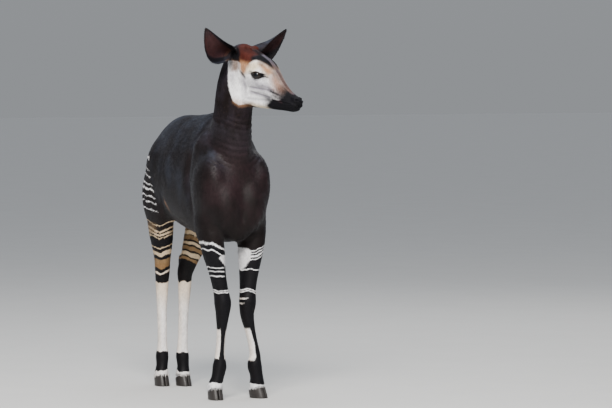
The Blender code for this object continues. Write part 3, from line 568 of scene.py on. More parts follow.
def ear(name, collection, lengthwise=44, crosswise=31):
    """Thin cupped ear: outer and inner skins from the same leaf, closed along the rim."""
    base, tip, facing, bow = EARS[name]
    work = bmesh.new()
    skins = []
    for outside in (1.0, -1.0):
        grid = []
        for row in range(lengthwise):
            along = -0.05 + 1.035 * row / (lengthwise - 1)
            thick = (EAR_THICKNESS * (1.0 - 0.62 * along) - 0.0012) / 2
            line = []
            for column in range(crosswise):
                across = 2.0 * column / (crosswise - 1) - 1.0
                lift = outside * thick * (1.0 - 0.45 * abs(across) ** 3)
                line.append(work.verts.new(ear_point(base, tip, facing, bow, along, across * 0.985, lift)))
            grid.append(line)
        skins.append(grid)
    outer, inner = skins
    for row in range(lengthwise - 1):
        for column in range(crosswise - 1):
            for grid in (outer, inner):
                a, b = grid[row][column], grid[row][column + 1]
                c, d = grid[row + 1][column + 1], grid[row + 1][column]
                work.faces.new((a, b, c, d))
        for column in (0, crosswise - 1):
            near = (outer[row][column], outer[row + 1][column])
            work.faces.new((*near, inner[row + 1][column], inner[row][column]))
    for row in (0, lengthwise - 1):
        for column in range(crosswise - 1):
            near = (outer[row][column], outer[row][column + 1])
            work.faces.new((*near, inner[row][column + 1], inner[row][column]))
    bmesh.ops.triangulate(work, faces=work.faces)
    bmesh.ops.recalc_face_normals(work, faces=work.faces)
    return from_bmesh(name + "_shell", work, collection)


# Fusing the forms into one skin


def apply_all(thing):
    """Turn an object's modifiers into its mesh."""
    graph = bpy.context.evaluated_depsgraph_get()
    graph.update()
    mesh = bpy.data.meshes.new_from_object(thing.evaluated_get(graph))
    thing.modifiers.clear()
    old = thing.data
    thing.data = mesh
    bpy.data.meshes.remove(old)


def melt(thing, voxel, smoothing):
    """Remesh an object in even cells and smooth it."""
    remesh = thing.modifiers.new("even", "REMESH")
    remesh.mode = "VOXEL"
    remesh.voxel_size = voxel
    smooth = thing.modifiers.new("smooth", "SMOOTH")
    smooth.factor = 0.5
    smooth.iterations = smoothing
    apply_all(thing)


def fuse(collection, name, voxel, smoothing):
    """Fuse a collection's closed shapes into one smooth mesh."""
    joined = bmesh.new()
    for thing in list(collection.objects):
        joined.from_mesh(thing.data)
        bpy.data.objects.remove(thing, do_unlink=True)
    thing = from_bmesh(name, joined, collection)
    melt(thing, voxel, smoothing)
    return thing


def gathered(parts, key, width=1, kind=np.int32):
    """One property of all parts of a mesh, in rows as wide as given."""
    found = np.empty(len(parts) * width, kind)
    parts.foreach_get(key, found)
    return found.reshape(-1, width)


def points_of(mesh):
    """Vertex places of a mesh as an array."""
    return gathered(mesh.vertices, "co", 3, np.float32).astype(float)


def set_points(mesh, places):
    """Write vertex places back to a mesh."""
    mesh.vertices.foreach_set("co", np.asarray(places, np.float32).ravel())
    mesh.update()


def normals_of(mesh):
    """Vertex normals of a mesh as an array."""
    return gathered(mesh.vertex_normals, "vector", 3, np.float32).astype(float)


def corners_of(mesh):
    """The three vertex numbers of each triangle of a mesh."""
    return gathered(mesh.loops, "vertex_index").reshape(-1, 3)


def smooth_where(thing, weights, iterations, factor=0.5):
    """Smooth a mesh by an array of vertex weights."""
    mesh = thing.data
    edges = gathered(mesh.edges, "vertices", 2)
    places = points_of(mesh)
    count = np.bincount(edges.ravel(), minlength=len(places)).astype(float)[:, None]
    strength = (weights * factor)[:, None]
    for _ in range(iterations):
        total = np.zeros_like(places)
        for axis in range(3):
            total[:, axis] += np.bincount(edges[:, 0], places[edges[:, 1], axis], len(places))
            total[:, axis] += np.bincount(edges[:, 1], places[edges[:, 0], axis], len(places))
        places += (total / np.maximum(count, 1) - places) * strength
    set_points(mesh, places)


def ramp(low, high, value):
    """Smooth step from 0 at low to 1 at high, on numbers or arrays."""
    t = np.clip((value - low) / (high - low), 0.0, 1.0)
    return t * t * (3 - 2 * t)


def bell(value, width):
    """Smooth hump of 1 at 0 that has faded a width away."""
    return np.exp(-((value / width) ** 2))


def head_measures(places):
    """Along, side and drop of points, from the poll."""
    away = places - np.array(POLL)
    return away @ np.array(FORWARD), away @ np.array(LEFTWARD), -away[:, 2]


def weld_head(body, head, collection):
    """Join the head's mesh to the body's on the neck, without a seam."""
    plane = np.array(JOIN_UP)
    source = bmesh.new()
    source.from_mesh(body.data)
    tree = BVHTree.FromBMesh(source)
    places = points_of(head.data)
    rise = (places - np.array(JOIN_PLACE)) @ plane
    for index in np.nonzero((rise > -0.006) & (rise < 0.09) & (places[:, 1] > -0.50))[0]:
        near = tree.find_nearest(Vector(places[index]))[0]
        share = 1.0 - float(ramp(0.0, 0.09, max(rise[index], 0.0)))
        places[index] += (np.array(near) - places[index]) * share
    set_points(head.data, places)
    work = bmesh.new()
    work.from_mesh(head.data)
    everything = work.verts[:] + work.edges[:] + work.faces[:]
    bmesh.ops.bisect_plane(work, geom=everything, plane_co=JOIN_PLACE, plane_no=JOIN_UP, clear_inner=True)
    everything = source.verts[:] + source.edges[:] + source.faces[:]
    below = JOIN_PLACE - JOIN_UP * 0.005
    bmesh.ops.bisect_plane(source, geom=everything, plane_co=below, plane_no=JOIN_UP, clear_outer=True)
    kept = bpy.data.meshes.new("kept")
    source.to_mesh(kept)
    source.free()
    work.from_mesh(kept)
    bpy.data.meshes.remove(kept)
    rims = [edge for edge in work.edges if edge.is_boundary]
    bmesh.ops.bridge_loops(work, edges=rims)
    bmesh.ops.triangulate(work, faces=[face for face in work.faces if len(face.verts) > 4])
    bmesh.ops.recalc_face_normals(work, faces=work.faces)
    skin = from_bmesh("skin", work, collection)
    for thing in (body, head):
        bpy.data.objects.remove(thing, do_unlink=True)
    places = points_of(skin.data)
    rise = np.abs((places - np.array(JOIN_PLACE)) @ plane + 0.0025)
    near_neck = (places[:, 1] < -0.20) & (places[:, 1] > -0.50)
    smooth_where(skin, (1.0 - ramp(0.006, 0.030, rise)) * near_neck, 14)
    return skin


def cut_feet(body):
    """Cut the legs off along the hooves' slanted tops and close them."""
    work = bmesh.new()
    work.from_mesh(body.data)
    for hoof_x, hoof_y, turn in HOOVES.values():
        foot = math.radians(turn)
        ahead = Vector((math.sin(foot), -math.cos(foot), 0.0))
        normal = (UP * math.cos(CORONET_SLOPE) - ahead * math.sin(CORONET_SLOPE)).normalized()
        place = Vector((hoof_x, hoof_y, CORONET_HEIGHT + 0.0006))
        near = [v for v in work.verts if v.co.z < 0.11 and (v.co - place).xy.length < 0.085]
        chosen = set(near)
        edges = [e for e in work.edges if e.verts[0] in chosen and e.verts[1] in chosen]
        faces = [f for f in work.faces if all(v in chosen for v in f.verts)]
        geometry = near + edges + faces
        bmesh.ops.bisect_plane(work, geom=geometry, plane_co=place, plane_no=normal, clear_inner=True)
    rims = [edge for edge in work.edges if edge.is_boundary]
    bmesh.ops.holes_fill(work, edges=rims, sides=0)
    work.to_mesh(body.data)
    work.free()


def refine(thing, chosen, cuts=1):
    """Split the faces whose vertices are all chosen."""
    work = bmesh.new()
    work.from_mesh(thing.data)
    work.verts.ensure_lookup_table()
    edges = [e for e in work.edges if chosen[e.verts[0].index] and chosen[e.verts[1].index]]
    bmesh.ops.subdivide_edges(work, edges=edges, cuts=cuts, use_grid_fill=True)
    bmesh.ops.triangulate(work, faces=[face for face in work.faces if len(face.verts) > 4])
    work.to_mesh(thing.data)
    work.free()


def path_distance(places, path):
    """Distance from points to a path of straight pieces, and how far along it."""
    best = np.full(len(places), 1e9)
    share = np.zeros(len(places))
    path = np.array([tuple(point) for point in path], float)
    for index, (start, end) in enumerate(zip(path, path[1:])):
        run = end - start
        t = np.clip(((places - start) @ run) / (run @ run), 0, 1)
        away = np.linalg.norm(places - start - t[:, None] * run, axis=1)
        nearer = away < best
        best[nearer] = away[nearer]
        share[nearer] = (index + t[nearer]) / (len(path) - 1)
    return best, share


# Line of the lips: forward of the poll, out from the middle and below the poll
MOUTH = [
    (0.192, 0.036, 0.249),
    (0.226, 0.034, 0.2555),
    (0.258, 0.034, 0.261),
    (0.295, 0.030, 0.268),
    (0.316, 0.016, 0.274),
    (0.322, 0.000, 0.276),
]


def mouth_path(side):
    """Line of the lips on one side of the head."""
    return [head_place(along, out * side, drop) for along, out, drop in MOUTH]


def nostril_middle(side):
    """Middle of a nostril, as an array."""
    return np.array(head_place(0.326, 0.0215 * side, 0.2510))


def looking(side):
    """Direction in which an eye looks."""
    return (LEFTWARD * side * 0.93 + FORWARD * 0.30 + UP * 0.05).normalized()


def lid_angles(places, side):
    """Angles of points round an eye: along the opening, above it, and how far outside it."""
    centre = np.array(eye_centre(side))
    gaze = looking(side)
    slant = (FORWARD * 0.94 - UP * 0.34).normalized()
    along = (slant - gaze * slant.dot(gaze)).normalized()
    over = gaze.cross(along) * side
    away = places - centre
    far = np.linalg.norm(away, axis=1)
    unit = away / np.maximum(far, 1e-6)[:, None]
    ahead = unit @ np.array(gaze)
    across = np.arctan2(unit @ np.array(along), np.maximum(ahead, 1e-3))
    above = np.arcsin(np.clip(unit @ np.array(over), -1, 1))
    t = across / LID_HALF_LENGTH
    upper = above - UPPER_LID_RISE * (1 - t * t)
    lower = -above - LOWER_LID_DROP * (1 - t * t)
    outside = np.maximum(upper, lower)
    outside[ahead < 0.05] = 2.0
    return far, unit, across, above, outside


def shape_eyes(skin):
    """Lids that lie on the eyeballs, with a fold above and bags below."""
    for reach, width in ((0.036, 0.60), (0.031, 0.22)):
        places = points_of(skin.data)
        chosen = np.zeros(len(places), bool)
        for side in (-1, 1):
            far, *_, outside = lid_angles(places, side)
            chosen |= (far < reach) & (outside < width)
        refine(skin, chosen)
    places = points_of(skin.data)
    for side in (-1, 1):
        far, unit, _, above, outside = lid_angles(places, side)
        near = (far < 0.050) & (outside < 1.4)
        lid = EYE_RADIUS + 0.0030
        edge = EYE_RADIUS + 0.0011 + 0.0019 * ramp(0.0, 0.10, outside)
        fold = 0.0016 * bell(outside - 0.36, 0.07) * ramp(-0.1, 0.35, above)
        bag = 0.0010 * bell(outside - 0.34, 0.07) * ramp(0.1, -0.3, above)
        target = np.where(outside < 0.10, edge, lid) - fold - bag
        hold = ramp(0.95, 0.24, outside)
        radius = far * (1 - hold) + target * hold
        hidden = ramp(0.02, -0.055, outside)
        radius = radius * (1 - hidden) + (EYE_RADIUS - 0.0035) * hidden
        centre = np.array(eye_centre(side))
        places[near] = centre + unit[near] * radius[near, None]
    set_points(skin.data, places)


def shape_mouth_and_nose(skin):
    """Closed line of the lips and slanted comma nostrils."""
    places = points_of(skin.data)
    chosen = np.zeros(len(places), bool)
    for side in (-1, 1):
        lips, share = path_distance(places, mouth_path(side))
        chosen |= lips < 0.010
        chosen |= np.linalg.norm(places - nostril_middle(side), axis=1) < 0.017
    refine(skin, chosen)
    places = points_of(skin.data)
    normals = normals_of(skin.data)
    for side in (-1, 1):
        lips, share = path_distance(places, mouth_path(side))
        depth = 0.0030 * ramp(0.0, 0.08, share) * bell(lips, 0.0020)
        swell = 0.0012 * bell(lips - 0.0055, 0.0030)
        places += normals * (swell - depth)[:, None]
        slit = np.array((FORWARD * 0.86 - UP * 0.30 - LEFTWARD * 0.42 * side).normalized())
        away = places - nostril_middle(side)
        run = away @ slit
        rest = away - run[:, None] * slit
        rise = rest[:, 2] - 0.0022 * np.cos(run / 0.010 * math.pi / 2)
        flat = np.linalg.norm(rest[:, :2], axis=1)
        hollow = np.exp(-((run / 0.0100) ** 4) - (rise / 0.0038) ** 2 - (flat / 0.010) ** 4)
        lip = (np.abs(rise) - 0.0062) / 0.0026
        rim = np.exp(-((run / 0.0135) ** 4) - lip**2 - (flat / 0.014) ** 4)
        places += normals * (0.0011 * rim - 0.0065 * hollow)[:, None]
    set_points(skin.data, places)


# Folds of the skin: points in design metres, width and depth; the side folds lie on both sides
BREAST_FOLD = ([(0.000, -0.452, 1.010), (0.000, -0.450, 0.880), (0.000, -0.425, 0.790)], 0.016, 0.013)
SIDE_FOLDS = [
    (
        [(0.095, -0.200, 1.235), (0.128, -0.170, 1.120), (0.150, -0.165, 0.980), (0.150, -0.190, 0.840)],
        0.020,
        0.012,
    ),
    ([(0.060, -0.330, 1.170), (0.105, -0.345, 1.060), (0.120, -0.375, 0.960)], 0.013, 0.008),
    ([(0.150, 0.140, 0.960), (0.150, 0.165, 0.880), (0.120, 0.200, 0.800)], 0.014, 0.008),
    ([(0.080, -0.420, 0.815), (0.115, -0.360, 0.770), (0.140, -0.300, 0.760)], 0.014, 0.005),
]

# Folds of the cheeks: start and end (forward of the poll, below it), width and depth; a ridge is negative
UPPER_CHEEK_FOLD = ((0.085, 0.192), (0.208, 0.209))
LOWER_CHEEK_FOLD = ((0.085, 0.213), (0.195, 0.241))
CHEEK_FOLDS = [
    (*UPPER_CHEEK_FOLD, 0.0050, 0.0026),
    ((0.085, 0.203), (0.205, 0.225), 0.0050, -0.0012),
    (*LOWER_CHEEK_FOLD, 0.0050, 0.0024),
    ((0.140, 0.163), (0.220, 0.208), 0.0070, 0.0016),
    ((0.060, 0.130), (0.064, 0.235), 0.0100, 0.0030),
    ((0.042, 0.122), (0.074, 0.152), 0.0060, 0.0018),
]
NECK_RING_SPACING = 0.026


def body_folds():
    """Every fold of the body: the one between the breasts, then each side's."""
    yield BREAST_FOLD
    for path, width, depth in SIDE_FOLDS:
        for side in (-1, 1):
            yield [(x * side, y, z) for x, y, z in path], width, depth


def shape_folds(skin):
    """Grooves between muscle masses, the fine rings of the lower neck and the cheeks' folds."""
    places = points_of(skin.data)
    normals = normals_of(skin.data)
    for path, width, depth in body_folds():
        away, share = path_distance(places, path)
        fade = np.sin(np.clip(share, 0.02, 0.98) * math.pi) ** 0.5
        places -= normals * (depth * fade * bell(away, width))[:, None]
    x, y, z = places.T
    throat = ramp(-0.30, -0.40, y) * ramp(1.02, 1.08, z) * ramp(1.30, 1.24, z)
    sag = z - 4.0 * x**2 + 0.0035 * np.sin(31.0 * z + 24.0 * x)
    uneven = 0.65 + 0.35 * np.sin(57.0 * z + 19.0 * x)
    places += normals * (0.0015 * throat * uneven * np.sin(sag * math.tau / NECK_RING_SPACING))[:, None]
    along, side, drop = head_measures(places)
    outer = ramp(0.02, 0.03, np.abs(side))
    for start, end, width, depth in CHEEK_FOLDS:
        places -= normals * (depth * line_share(along, drop, start, end, width) * outer)[:, None]
    set_points(skin.data, places)


# Depth of the coat and its markings


def coat_depth(places):
    """How deep the coat lies at each point."""
    coat = bpy.context.scene.okapi_coat
    face = ramp(1.28, 1.38, places[:, 2])
    leg = ramp(0.78, 0.62, places[:, 2])
    depth = coat.body_depth * (1 - 0.45 * leg)
    return depth * (1 - face) + coat.face_depth * face


def blob(x, y, place, radius, angle=0.0):
    """Soft oval patch of 1 in the middle, on two measures."""
    turn = math.radians(angle)
    run = (x - place[0]) * math.cos(turn) + (y - place[1]) * math.sin(turn)
    over = (y - place[1]) * math.cos(turn) - (x - place[0]) * math.sin(turn)
    return np.exp(-((run / radius[0]) ** 2) - (over / radius[1]) ** 2)


def ear_mask(places):
    """How far out on an ear each point lies, how near its rim, and which way the ear faces there."""
    best = np.zeros(len(places))
    rim = np.zeros(len(places))
    faces = np.zeros((len(places), 3))
    for base, tip, facing, bow in EARS.values():
        spine = np.array(tip - base)
        length = np.linalg.norm(spine)
        axis = spine / length
        away = places - np.array(base)
        share = away @ axis / length
        bent = away - np.outer(np.sin(np.pi * np.clip(share, 0, 1)), np.array(bow))
        front = np.array((facing - Vector(axis) * facing.dot(Vector(axis))).normalized())
        across = bent - np.outer(bent @ axis, axis)
        width = across @ np.cross(axis, front)
        near = (share > 0.0) & (np.linalg.norm(across, axis=1) < 0.075) & (share < 1.1)
        leaf = np.maximum(np.sin(np.pi * np.clip(share, 0, 1) ** 0.86), 0) ** 0.76
        edge = ramp(0.55, 1.0, np.abs(width) / (EAR_HALF_WIDTH * (0.93 * leaf + 0.03)))
        best = np.where(near, np.clip(share, 0, 1), best)
        rim = np.where(near, edge, rim)
        faces[near] = front
    return best, rim, faces


def patch(x, y, outline, soft):
    """Share of 1 inside an outline and 0 outside, fading over the soft width."""
    corners = np.array(outline, float)
    away = np.full(len(x), 1e9)
    inside = np.zeros(len(x), bool)
    for (ax, ay), (bx, by) in zip(corners, np.roll(corners, -1, 0)):
        run = np.array([bx - ax, by - ay])
        t = np.clip(((x - ax) * run[0] + (y - ay) * run[1]) / (run @ run), 0, 1)
        away = np.minimum(away, np.hypot(x - ax - t * run[0], y - ay - t * run[1]))
        crossing = (ay > y) != (by > y)
        reach = ax + (y - ay) / (by - ay if by != ay else 1e-9) * (bx - ax)
        inside ^= crossing & (x < reach)
    return ramp(-soft, soft, np.where(inside, away, -away))


# Outlines of the head's markings, forward of the poll and below it, in metres
PALE_FACE = [
    (-0.036, 0.076), (0.030, 0.079), (0.045, 0.088), (0.084, 0.092), (0.104, 0.084), (0.118, 0.073),
    (0.140, 0.077), (0.160, 0.086), (0.186, 0.104), (0.200, 0.118), (0.225, 0.150), (0.250, 0.186),
    (0.268, 0.206), (0.280, 0.222), (0.262, 0.245), (0.235, 0.250), (0.217, 0.250), (0.193, 0.262),
    (0.180, 0.304), (0.135, 0.300), (0.077, 0.269), (0.055, 0.268), (0.030, 0.273), (0.008, 0.256),
    (-0.003, 0.229), (-0.018, 0.185), (-0.025, 0.124),
]
CHESTNUT = [
    (-0.004, -0.020), (0.080, -0.010), (0.102, 0.030), (0.112, 0.050), (0.108, 0.078), (0.094, 0.096),
    (0.060, 0.082), (0.036, 0.074), (0.034, 0.040), (0.012, 0.016),
]
TEMPLE = [
    (0.038, 0.062), (0.096, 0.070), (0.100, 0.096), (0.084, 0.110), (0.078, 0.132), (0.056, 0.136),
    (0.040, 0.110),
]
BROW_TAN = [
    (0.138, 0.082), (0.164, 0.088), (0.194, 0.108), (0.206, 0.134), (0.182, 0.146), (0.166, 0.130),
    (0.148, 0.104),
]
EAR_DARK = [
    (-0.010, 0.010), (0.026, 0.022), (0.038, 0.050), (0.038, 0.082), (0.006, 0.079), (-0.012, 0.060),
]
MUZZLE_TAN = [
    (0.196, 0.120), (0.222, 0.134), (0.256, 0.181), (0.290, 0.205), (0.270, 0.236), (0.245, 0.232),
    (0.220, 0.214), (0.203, 0.190), (0.192, 0.160),
]
EYE_DARK = [
    (0.094, 0.130), (0.118, 0.124), (0.145, 0.123), (0.166, 0.133), (0.182, 0.147), (0.156, 0.154),
    (0.131, 0.163), (0.114, 0.152),
]
EAR_STREAK = [
    (-0.040, 0.070), (0.036, 0.076), (0.036, 0.108), (0.026, 0.122), (-0.012, 0.124), (-0.024, 0.100),
]
THROAT_TAN = [
    (0.010, 0.240), (0.036, 0.252), (0.070, 0.256), (0.100, 0.268), (0.060, 0.278), (0.030, 0.282),
    (0.004, 0.262),
]
BLACK_MUZZLE = [
    (0.146, 0.272), (0.172, 0.256), (0.193, 0.239), (0.205, 0.228), (0.220, 0.224), (0.240, 0.236),
    (0.256, 0.236), (0.270, 0.222), (0.284, 0.206), (0.300, 0.190), (0.360, 0.190), (0.360, 0.340),
    (0.215, 0.340), (0.184, 0.300), (0.160, 0.290),
]
BROW_STRIPE = [
    (0.106, 0.058), (0.128, 0.048), (0.160, 0.062), (0.190, 0.092), (0.212, 0.124), (0.198, 0.118),
    (0.168, 0.092), (0.126, 0.070),
]


def line_share(along, drop, start, end, width, fade=0.20):
    """Soft line between two places of the head's side, fading towards its ends."""
    run = np.array(end) - np.array(start)
    t = ((along - start[0]) * run[0] + (drop - start[1]) * run[1]) / (run @ run)
    held = np.clip(t, 0, 1)
    away = np.hypot(along - start[0] - held * run[0], drop - start[1] - held * run[1])
    return np.exp(-((away / width) ** 2)) * ramp(-fade, fade, np.minimum(t, 1 - t))


def eye_marks(along, side, drop, places, black):
    """Black of the eyes' rims, a painted highlight on the upper lid's edge and painted shade in the crease
    above it.
    """
    for which in (-1, 1):
        far, _, across, above, outside = lid_angles(places, which)
        close = far < 0.042
        lids = patch(along, drop, EYE_DARK, 0.004) * (far < 0.055) * (side * which > 0.03)
        rims = close * ramp(0.085, 0.045, outside)
        black = np.maximum(black * (1 - close * ramp(0.3, 0.1, outside)), np.maximum(lids, rims))
        # Painted highlight: less black along the upper lid's edge
        edge = close * bell(outside - 0.15, 0.045) * ramp(0.05, 0.35, above)
        black = black * (1 - 0.9 * edge)
        # Painted shade in the crease above the upper lid
        crease = close * bell(outside - 0.27, 0.06) * ramp(0.0, 0.3, above) * ramp(-1.3, -0.6, -across)
        black = np.maximum(black, 0.85 * crease)
    return np.maximum(black, 0.85 * line_share(along, drop, (0.166, 0.142), (0.188, 0.152), 0.0040))


# Marks of the head's sides: where they show, strength, kind of shape and its measures
CREAM_MARKS = (
    ("all", 1.20, blob, (0.110, 0.104), (0.052, 0.026), -20),
    ("all", 1.00, line_share, (0.070, 0.272), (0.180, 0.292), 0.014),
    ("all", 0.80, patch, BROW_TAN, 0.022),
)
# Grey: soft painted shade on the cheeks and painted shade in their folds; over the muzzle's tan it is the
# muzzle's own brownish grey, and on the nose ridge a painted highlight
GREY_MARKS = (
    ("all", 0.75, blob, (0.062, 0.180), (0.016, 0.048), -8),
    ("all", 0.72, blob, (0.150, 0.190), (0.095, 0.036), 20),
    ("all", 0.55, blob, (0.000, 0.142), (0.024, 0.030)),
    ("all", 0.95, patch, MUZZLE_TAN, 0.030),
    ("all", 0.90, line_share, *UPPER_CHEEK_FOLD, 0.0100),
    ("all", 0.85, line_share, *LOWER_CHEEK_FOLD, 0.0100),
    ("all", 0.85, line_share, (0.150, 0.180), (0.225, 0.212), 0.0130),
    ("all", 0.45, line_share, (0.060, 0.240), (0.190, 0.252), 0.0080),
    # painted highlight along the nose ridge
    ("nose_ridge", 1.00, None),
)
TAN_MARKS = (
    ("all", 0.95, patch, TEMPLE, 0.014),
    ("all", 0.95, patch, BROW_TAN, 0.017),
    ("all", 0.66, patch, MUZZLE_TAN, 0.024),
    ("ahead_of_ear", 0.70, patch, EAR_STREAK, 0.012),
    ("all", 0.50, patch, THROAT_TAN, 0.012),
)
MUZZLE_MARKS = (
    ("muzzle", 1.00, patch, BLACK_MUZZLE, 0.022),
    ("nose", 1.00, None),
    ("all", 0.80, blob, (0.184, 0.250), (0.032, 0.020), 25),
    ("all", 0.95, line_share, (0.200, 0.252), (0.330, 0.272), 0.010),
    # A thin black line painted as shade in the upper lip's crease
    ("all", 0.90, line_share, (0.186, 0.206), (0.272, 0.244), 0.0085),
    ("near_middle", 0.45, line_share, (0.196, 0.118), (0.268, 0.188), 0.0130),
)
BROW_MARKS = (
    ("off_middle", 0.95, patch, BROW_STRIPE, 0.007),
    ("sides", 1.10, blob, (0.114, 0.066), (0.015, 0.009), 20),
    ("middle", 0.80, line_share, (0.076, 0.026), (0.130, 0.052), 0.0055),
    ("crown_sides", 0.85, patch, EAR_DARK, 0.008),
    ("head", 0.65, line_share, (0.036, 0.080), (0.037, 0.122), 0.0050, 0.3),
    ("all", 0.58, patch, EAR_STREAK, 0.012),
    ("all", 0.50, blob, (0.152, 0.087), (0.024, 0.010), 38),
    ("all", 0.90, line_share, (0.042, 0.122), (0.074, 0.154), 0.0070, 0.3),
    ("crown", 0.40, blob, (0.066, 0.030), (0.040, 0.012), 12),
)
# Painted highlight on the lips: a pale line that thins their black
LIP_GLEAM = ((0.203, 0.237), (0.254, 0.262), 0.0060)


def strongest(along, drop, areas, marks):
    """Greatest share of several marks at each point, each within its area."""
    shares = []
    for area, strength, shape, *measures in marks:
        share = shape(along, drop, *measures) if shape else 1.0
        shares.append(strength * share * areas[area])
    return np.max(shares, axis=0)


def head_areas(along, out, drop, height, ear):
    """Soft parts of the head in which its marks show."""
    sides = ramp(0.02, 0.03, out)
    crown = ramp(1.44, 1.47, height) * (1 - ear)
    # The nose ridge, which takes a painted highlight
    ridge = ramp(0.017, 0.008, out) * ramp(0.112, 0.135, along)
    ridge = ridge * ramp(0.315, 0.280, along) * ramp(0.24, 0.22, drop)
    return {
        "all": 1.0,
        "head": ramp(1.235, 1.262, height) * ramp(-0.10, -0.085, along) * (1 - ear),
        "sides": sides,
        "off_middle": ramp(0.004, 0.013, out),
        "middle": ramp(0.03, 0.02, out),
        "near_middle": ramp(0.05, 0.03, out),
        "crown": crown,
        "crown_sides": crown * sides,
        "ahead_of_ear": ramp(-0.030, 0.010, along),
        "nose_ridge": ridge,
        "muzzle": ramp(0.128, 0.176, along),
        "nose": ramp(0.278, 0.366, 0.8 * along + 0.6 * drop) ** 0.65 * ramp(0.190, 0.226, along),
    }


def face_marks(places, normals):
    """Shares of white, cream, grey, rust, tan and black on the head and ears."""
    along, side, drop = head_measures(places)
    height = places[:, 2]
    share, rim, faces = ear_mask(places)
    ear = ramp(0.03, 0.09, share)
    hollow = ramp(-0.1, 0.35, (normals * faces).sum(1)) * ear
    areas = head_areas(along, np.abs(side), drop, height, ear)
    head = areas["head"]
    rust = patch(along, drop, CHESTNUT, 0.016) * areas["crown"] * (1 - 0.75 * ramp(0.066, 0.100, drop))
    nose_tip = ramp(0.26, 0.32, 0.8 * along + 0.6 * drop) * ramp(0.19, 0.22, along)
    rust = np.maximum(rust, 0.35 * nose_tip * head)
    rust = np.maximum(rust, 0.34 * hollow * (1 - rim) * ramp(1.02, 0.70, share))
    tan = strongest(along, drop, areas, TAN_MARKS) * head
    tan = tan * (1 - 0.6 * blob(along, drop, (0.135, 0.142), (0.032, 0.020)))
    tan = np.maximum(tan, 0.12 * hollow * ramp(0.20, 0.08, share) * (1 - rim))
    black = strongest(along, drop, areas, MUZZLE_MARKS)
    # Painted highlight along the lips
    black = black * (1 - 0.50 * line_share(along, drop, *LIP_GLEAM) * areas["sides"])
    black = np.maximum(black, strongest(along, drop, areas, BROW_MARKS))
    # Painted highlight along the nose ridge: the black thinned there and grey laid over it
    ridge = areas["nose_ridge"]
    black = np.maximum(black * (1 - 0.8 * ridge), 0.55 * ridge)
    black = black * (1 - ear) * ramp(1.23, 1.25, height)
    black = eye_marks(along, side, drop, places, black)
    black = np.maximum(black, 0.85 * hollow * ramp(0.1, 0.85, rim))
    marks = {
        "white": patch(along, drop, PALE_FACE, 0.008) * head,
        "cream": strongest(along, drop, areas, CREAM_MARKS) * head,
        "grey": strongest(along, drop, areas, GREY_MARKS) * head,
        "rust": rust,
        "tan": tan,
        "black": black,
    }
    return {name: np.clip(values, 0.0, 1.0) for name, values in marks.items()}


def leg_measures(places):
    """Share of the hind legs, which legs are right, and how far out from its middle a point lies."""
    x, y, z = places.T
    hind = ramp(0.02, 0.10, y)
    right = x < LEG_SPLIT_X
    heights = [0.05, 0.15, 0.435, 0.7]
    fore_right = np.interp(z, heights, [-0.080, -0.060, -0.052, -0.085])
    fore_left = np.interp(z, heights, [0.128, 0.113, 0.070, 0.098])
    middle = np.where(y > 0.0, np.where(right, -0.048, 0.050), np.where(right, fore_right, fore_left))
    return hind, right, np.where(right, middle - x, x - middle)


def band_height(places, hind, right, out):
    """Height at which a point's leg band lies, with the bands' tilts and sags taken out."""
    x, y, z = places.T
    across = x * 0.906 - y * 0.423
    vee = 0.42 * np.abs(across + 0.216) * ramp(0.86, 0.79, z) * ramp(0.46, 0.52, z)
    rump = 0.18 * np.maximum(0.36 - y, 0.0) * ramp(0.80, 0.84, z)
    hind_right = z - vee + rump
    hind_left = z + 0.50 * out * ramp(0.90, 0.72, z) * ramp(0.50, 0.56, z) + rump
    ring = ramp(0.530, 0.505, z)
    fore_right = z - 0.40 * out * ramp(0.600, 0.650, z) - 0.35 * ring * np.maximum(-out - 0.010, 0.0)
    fore_left = z - 0.38 * out * ramp(0.590, 0.630, z) + 0.22 * ring * np.maximum(out, -0.010)
    fore = np.where(right, fore_right, fore_left)
    return np.where(hind > 0.5, np.where(right, hind_right, hind_left), fore)


# Pale and dark patches of the fore legs: outwards from the leg's middle, and height
INNER_PALE_RIGHT = [
    (-0.09, 0.646), (-0.004, 0.652), (0.012, 0.641), (-0.006, 0.620), (-0.020, 0.604), (-0.09, 0.600),
]
INNER_PALE_LEFT = [
    (-0.09, 0.684), (-0.034, 0.680), (-0.020, 0.668), (-0.020, 0.630), (-0.030, 0.600), (-0.040, 0.580),
    (-0.09, 0.572),
]
INNER_DARK_RIGHT = [(-0.09, 0.597), (-0.014, 0.600), (-0.012, 0.540), (-0.09, 0.540)]
INNER_DARK_LEFT = [(-0.09, 0.566), (-0.034, 0.570), (-0.012, 0.592), (-0.010, 0.540), (-0.09, 0.540)]
KNEE_LINES = (((-0.06, 0.447), (-0.012, 0.458), 0.0028), ((-0.06, 0.428), (-0.026, 0.434), 0.0025))
FLANK_FOLD = [(0.159, 0.149, 0.908), (0.150, 0.105, 0.860), (0.130, 0.090, 0.815)]


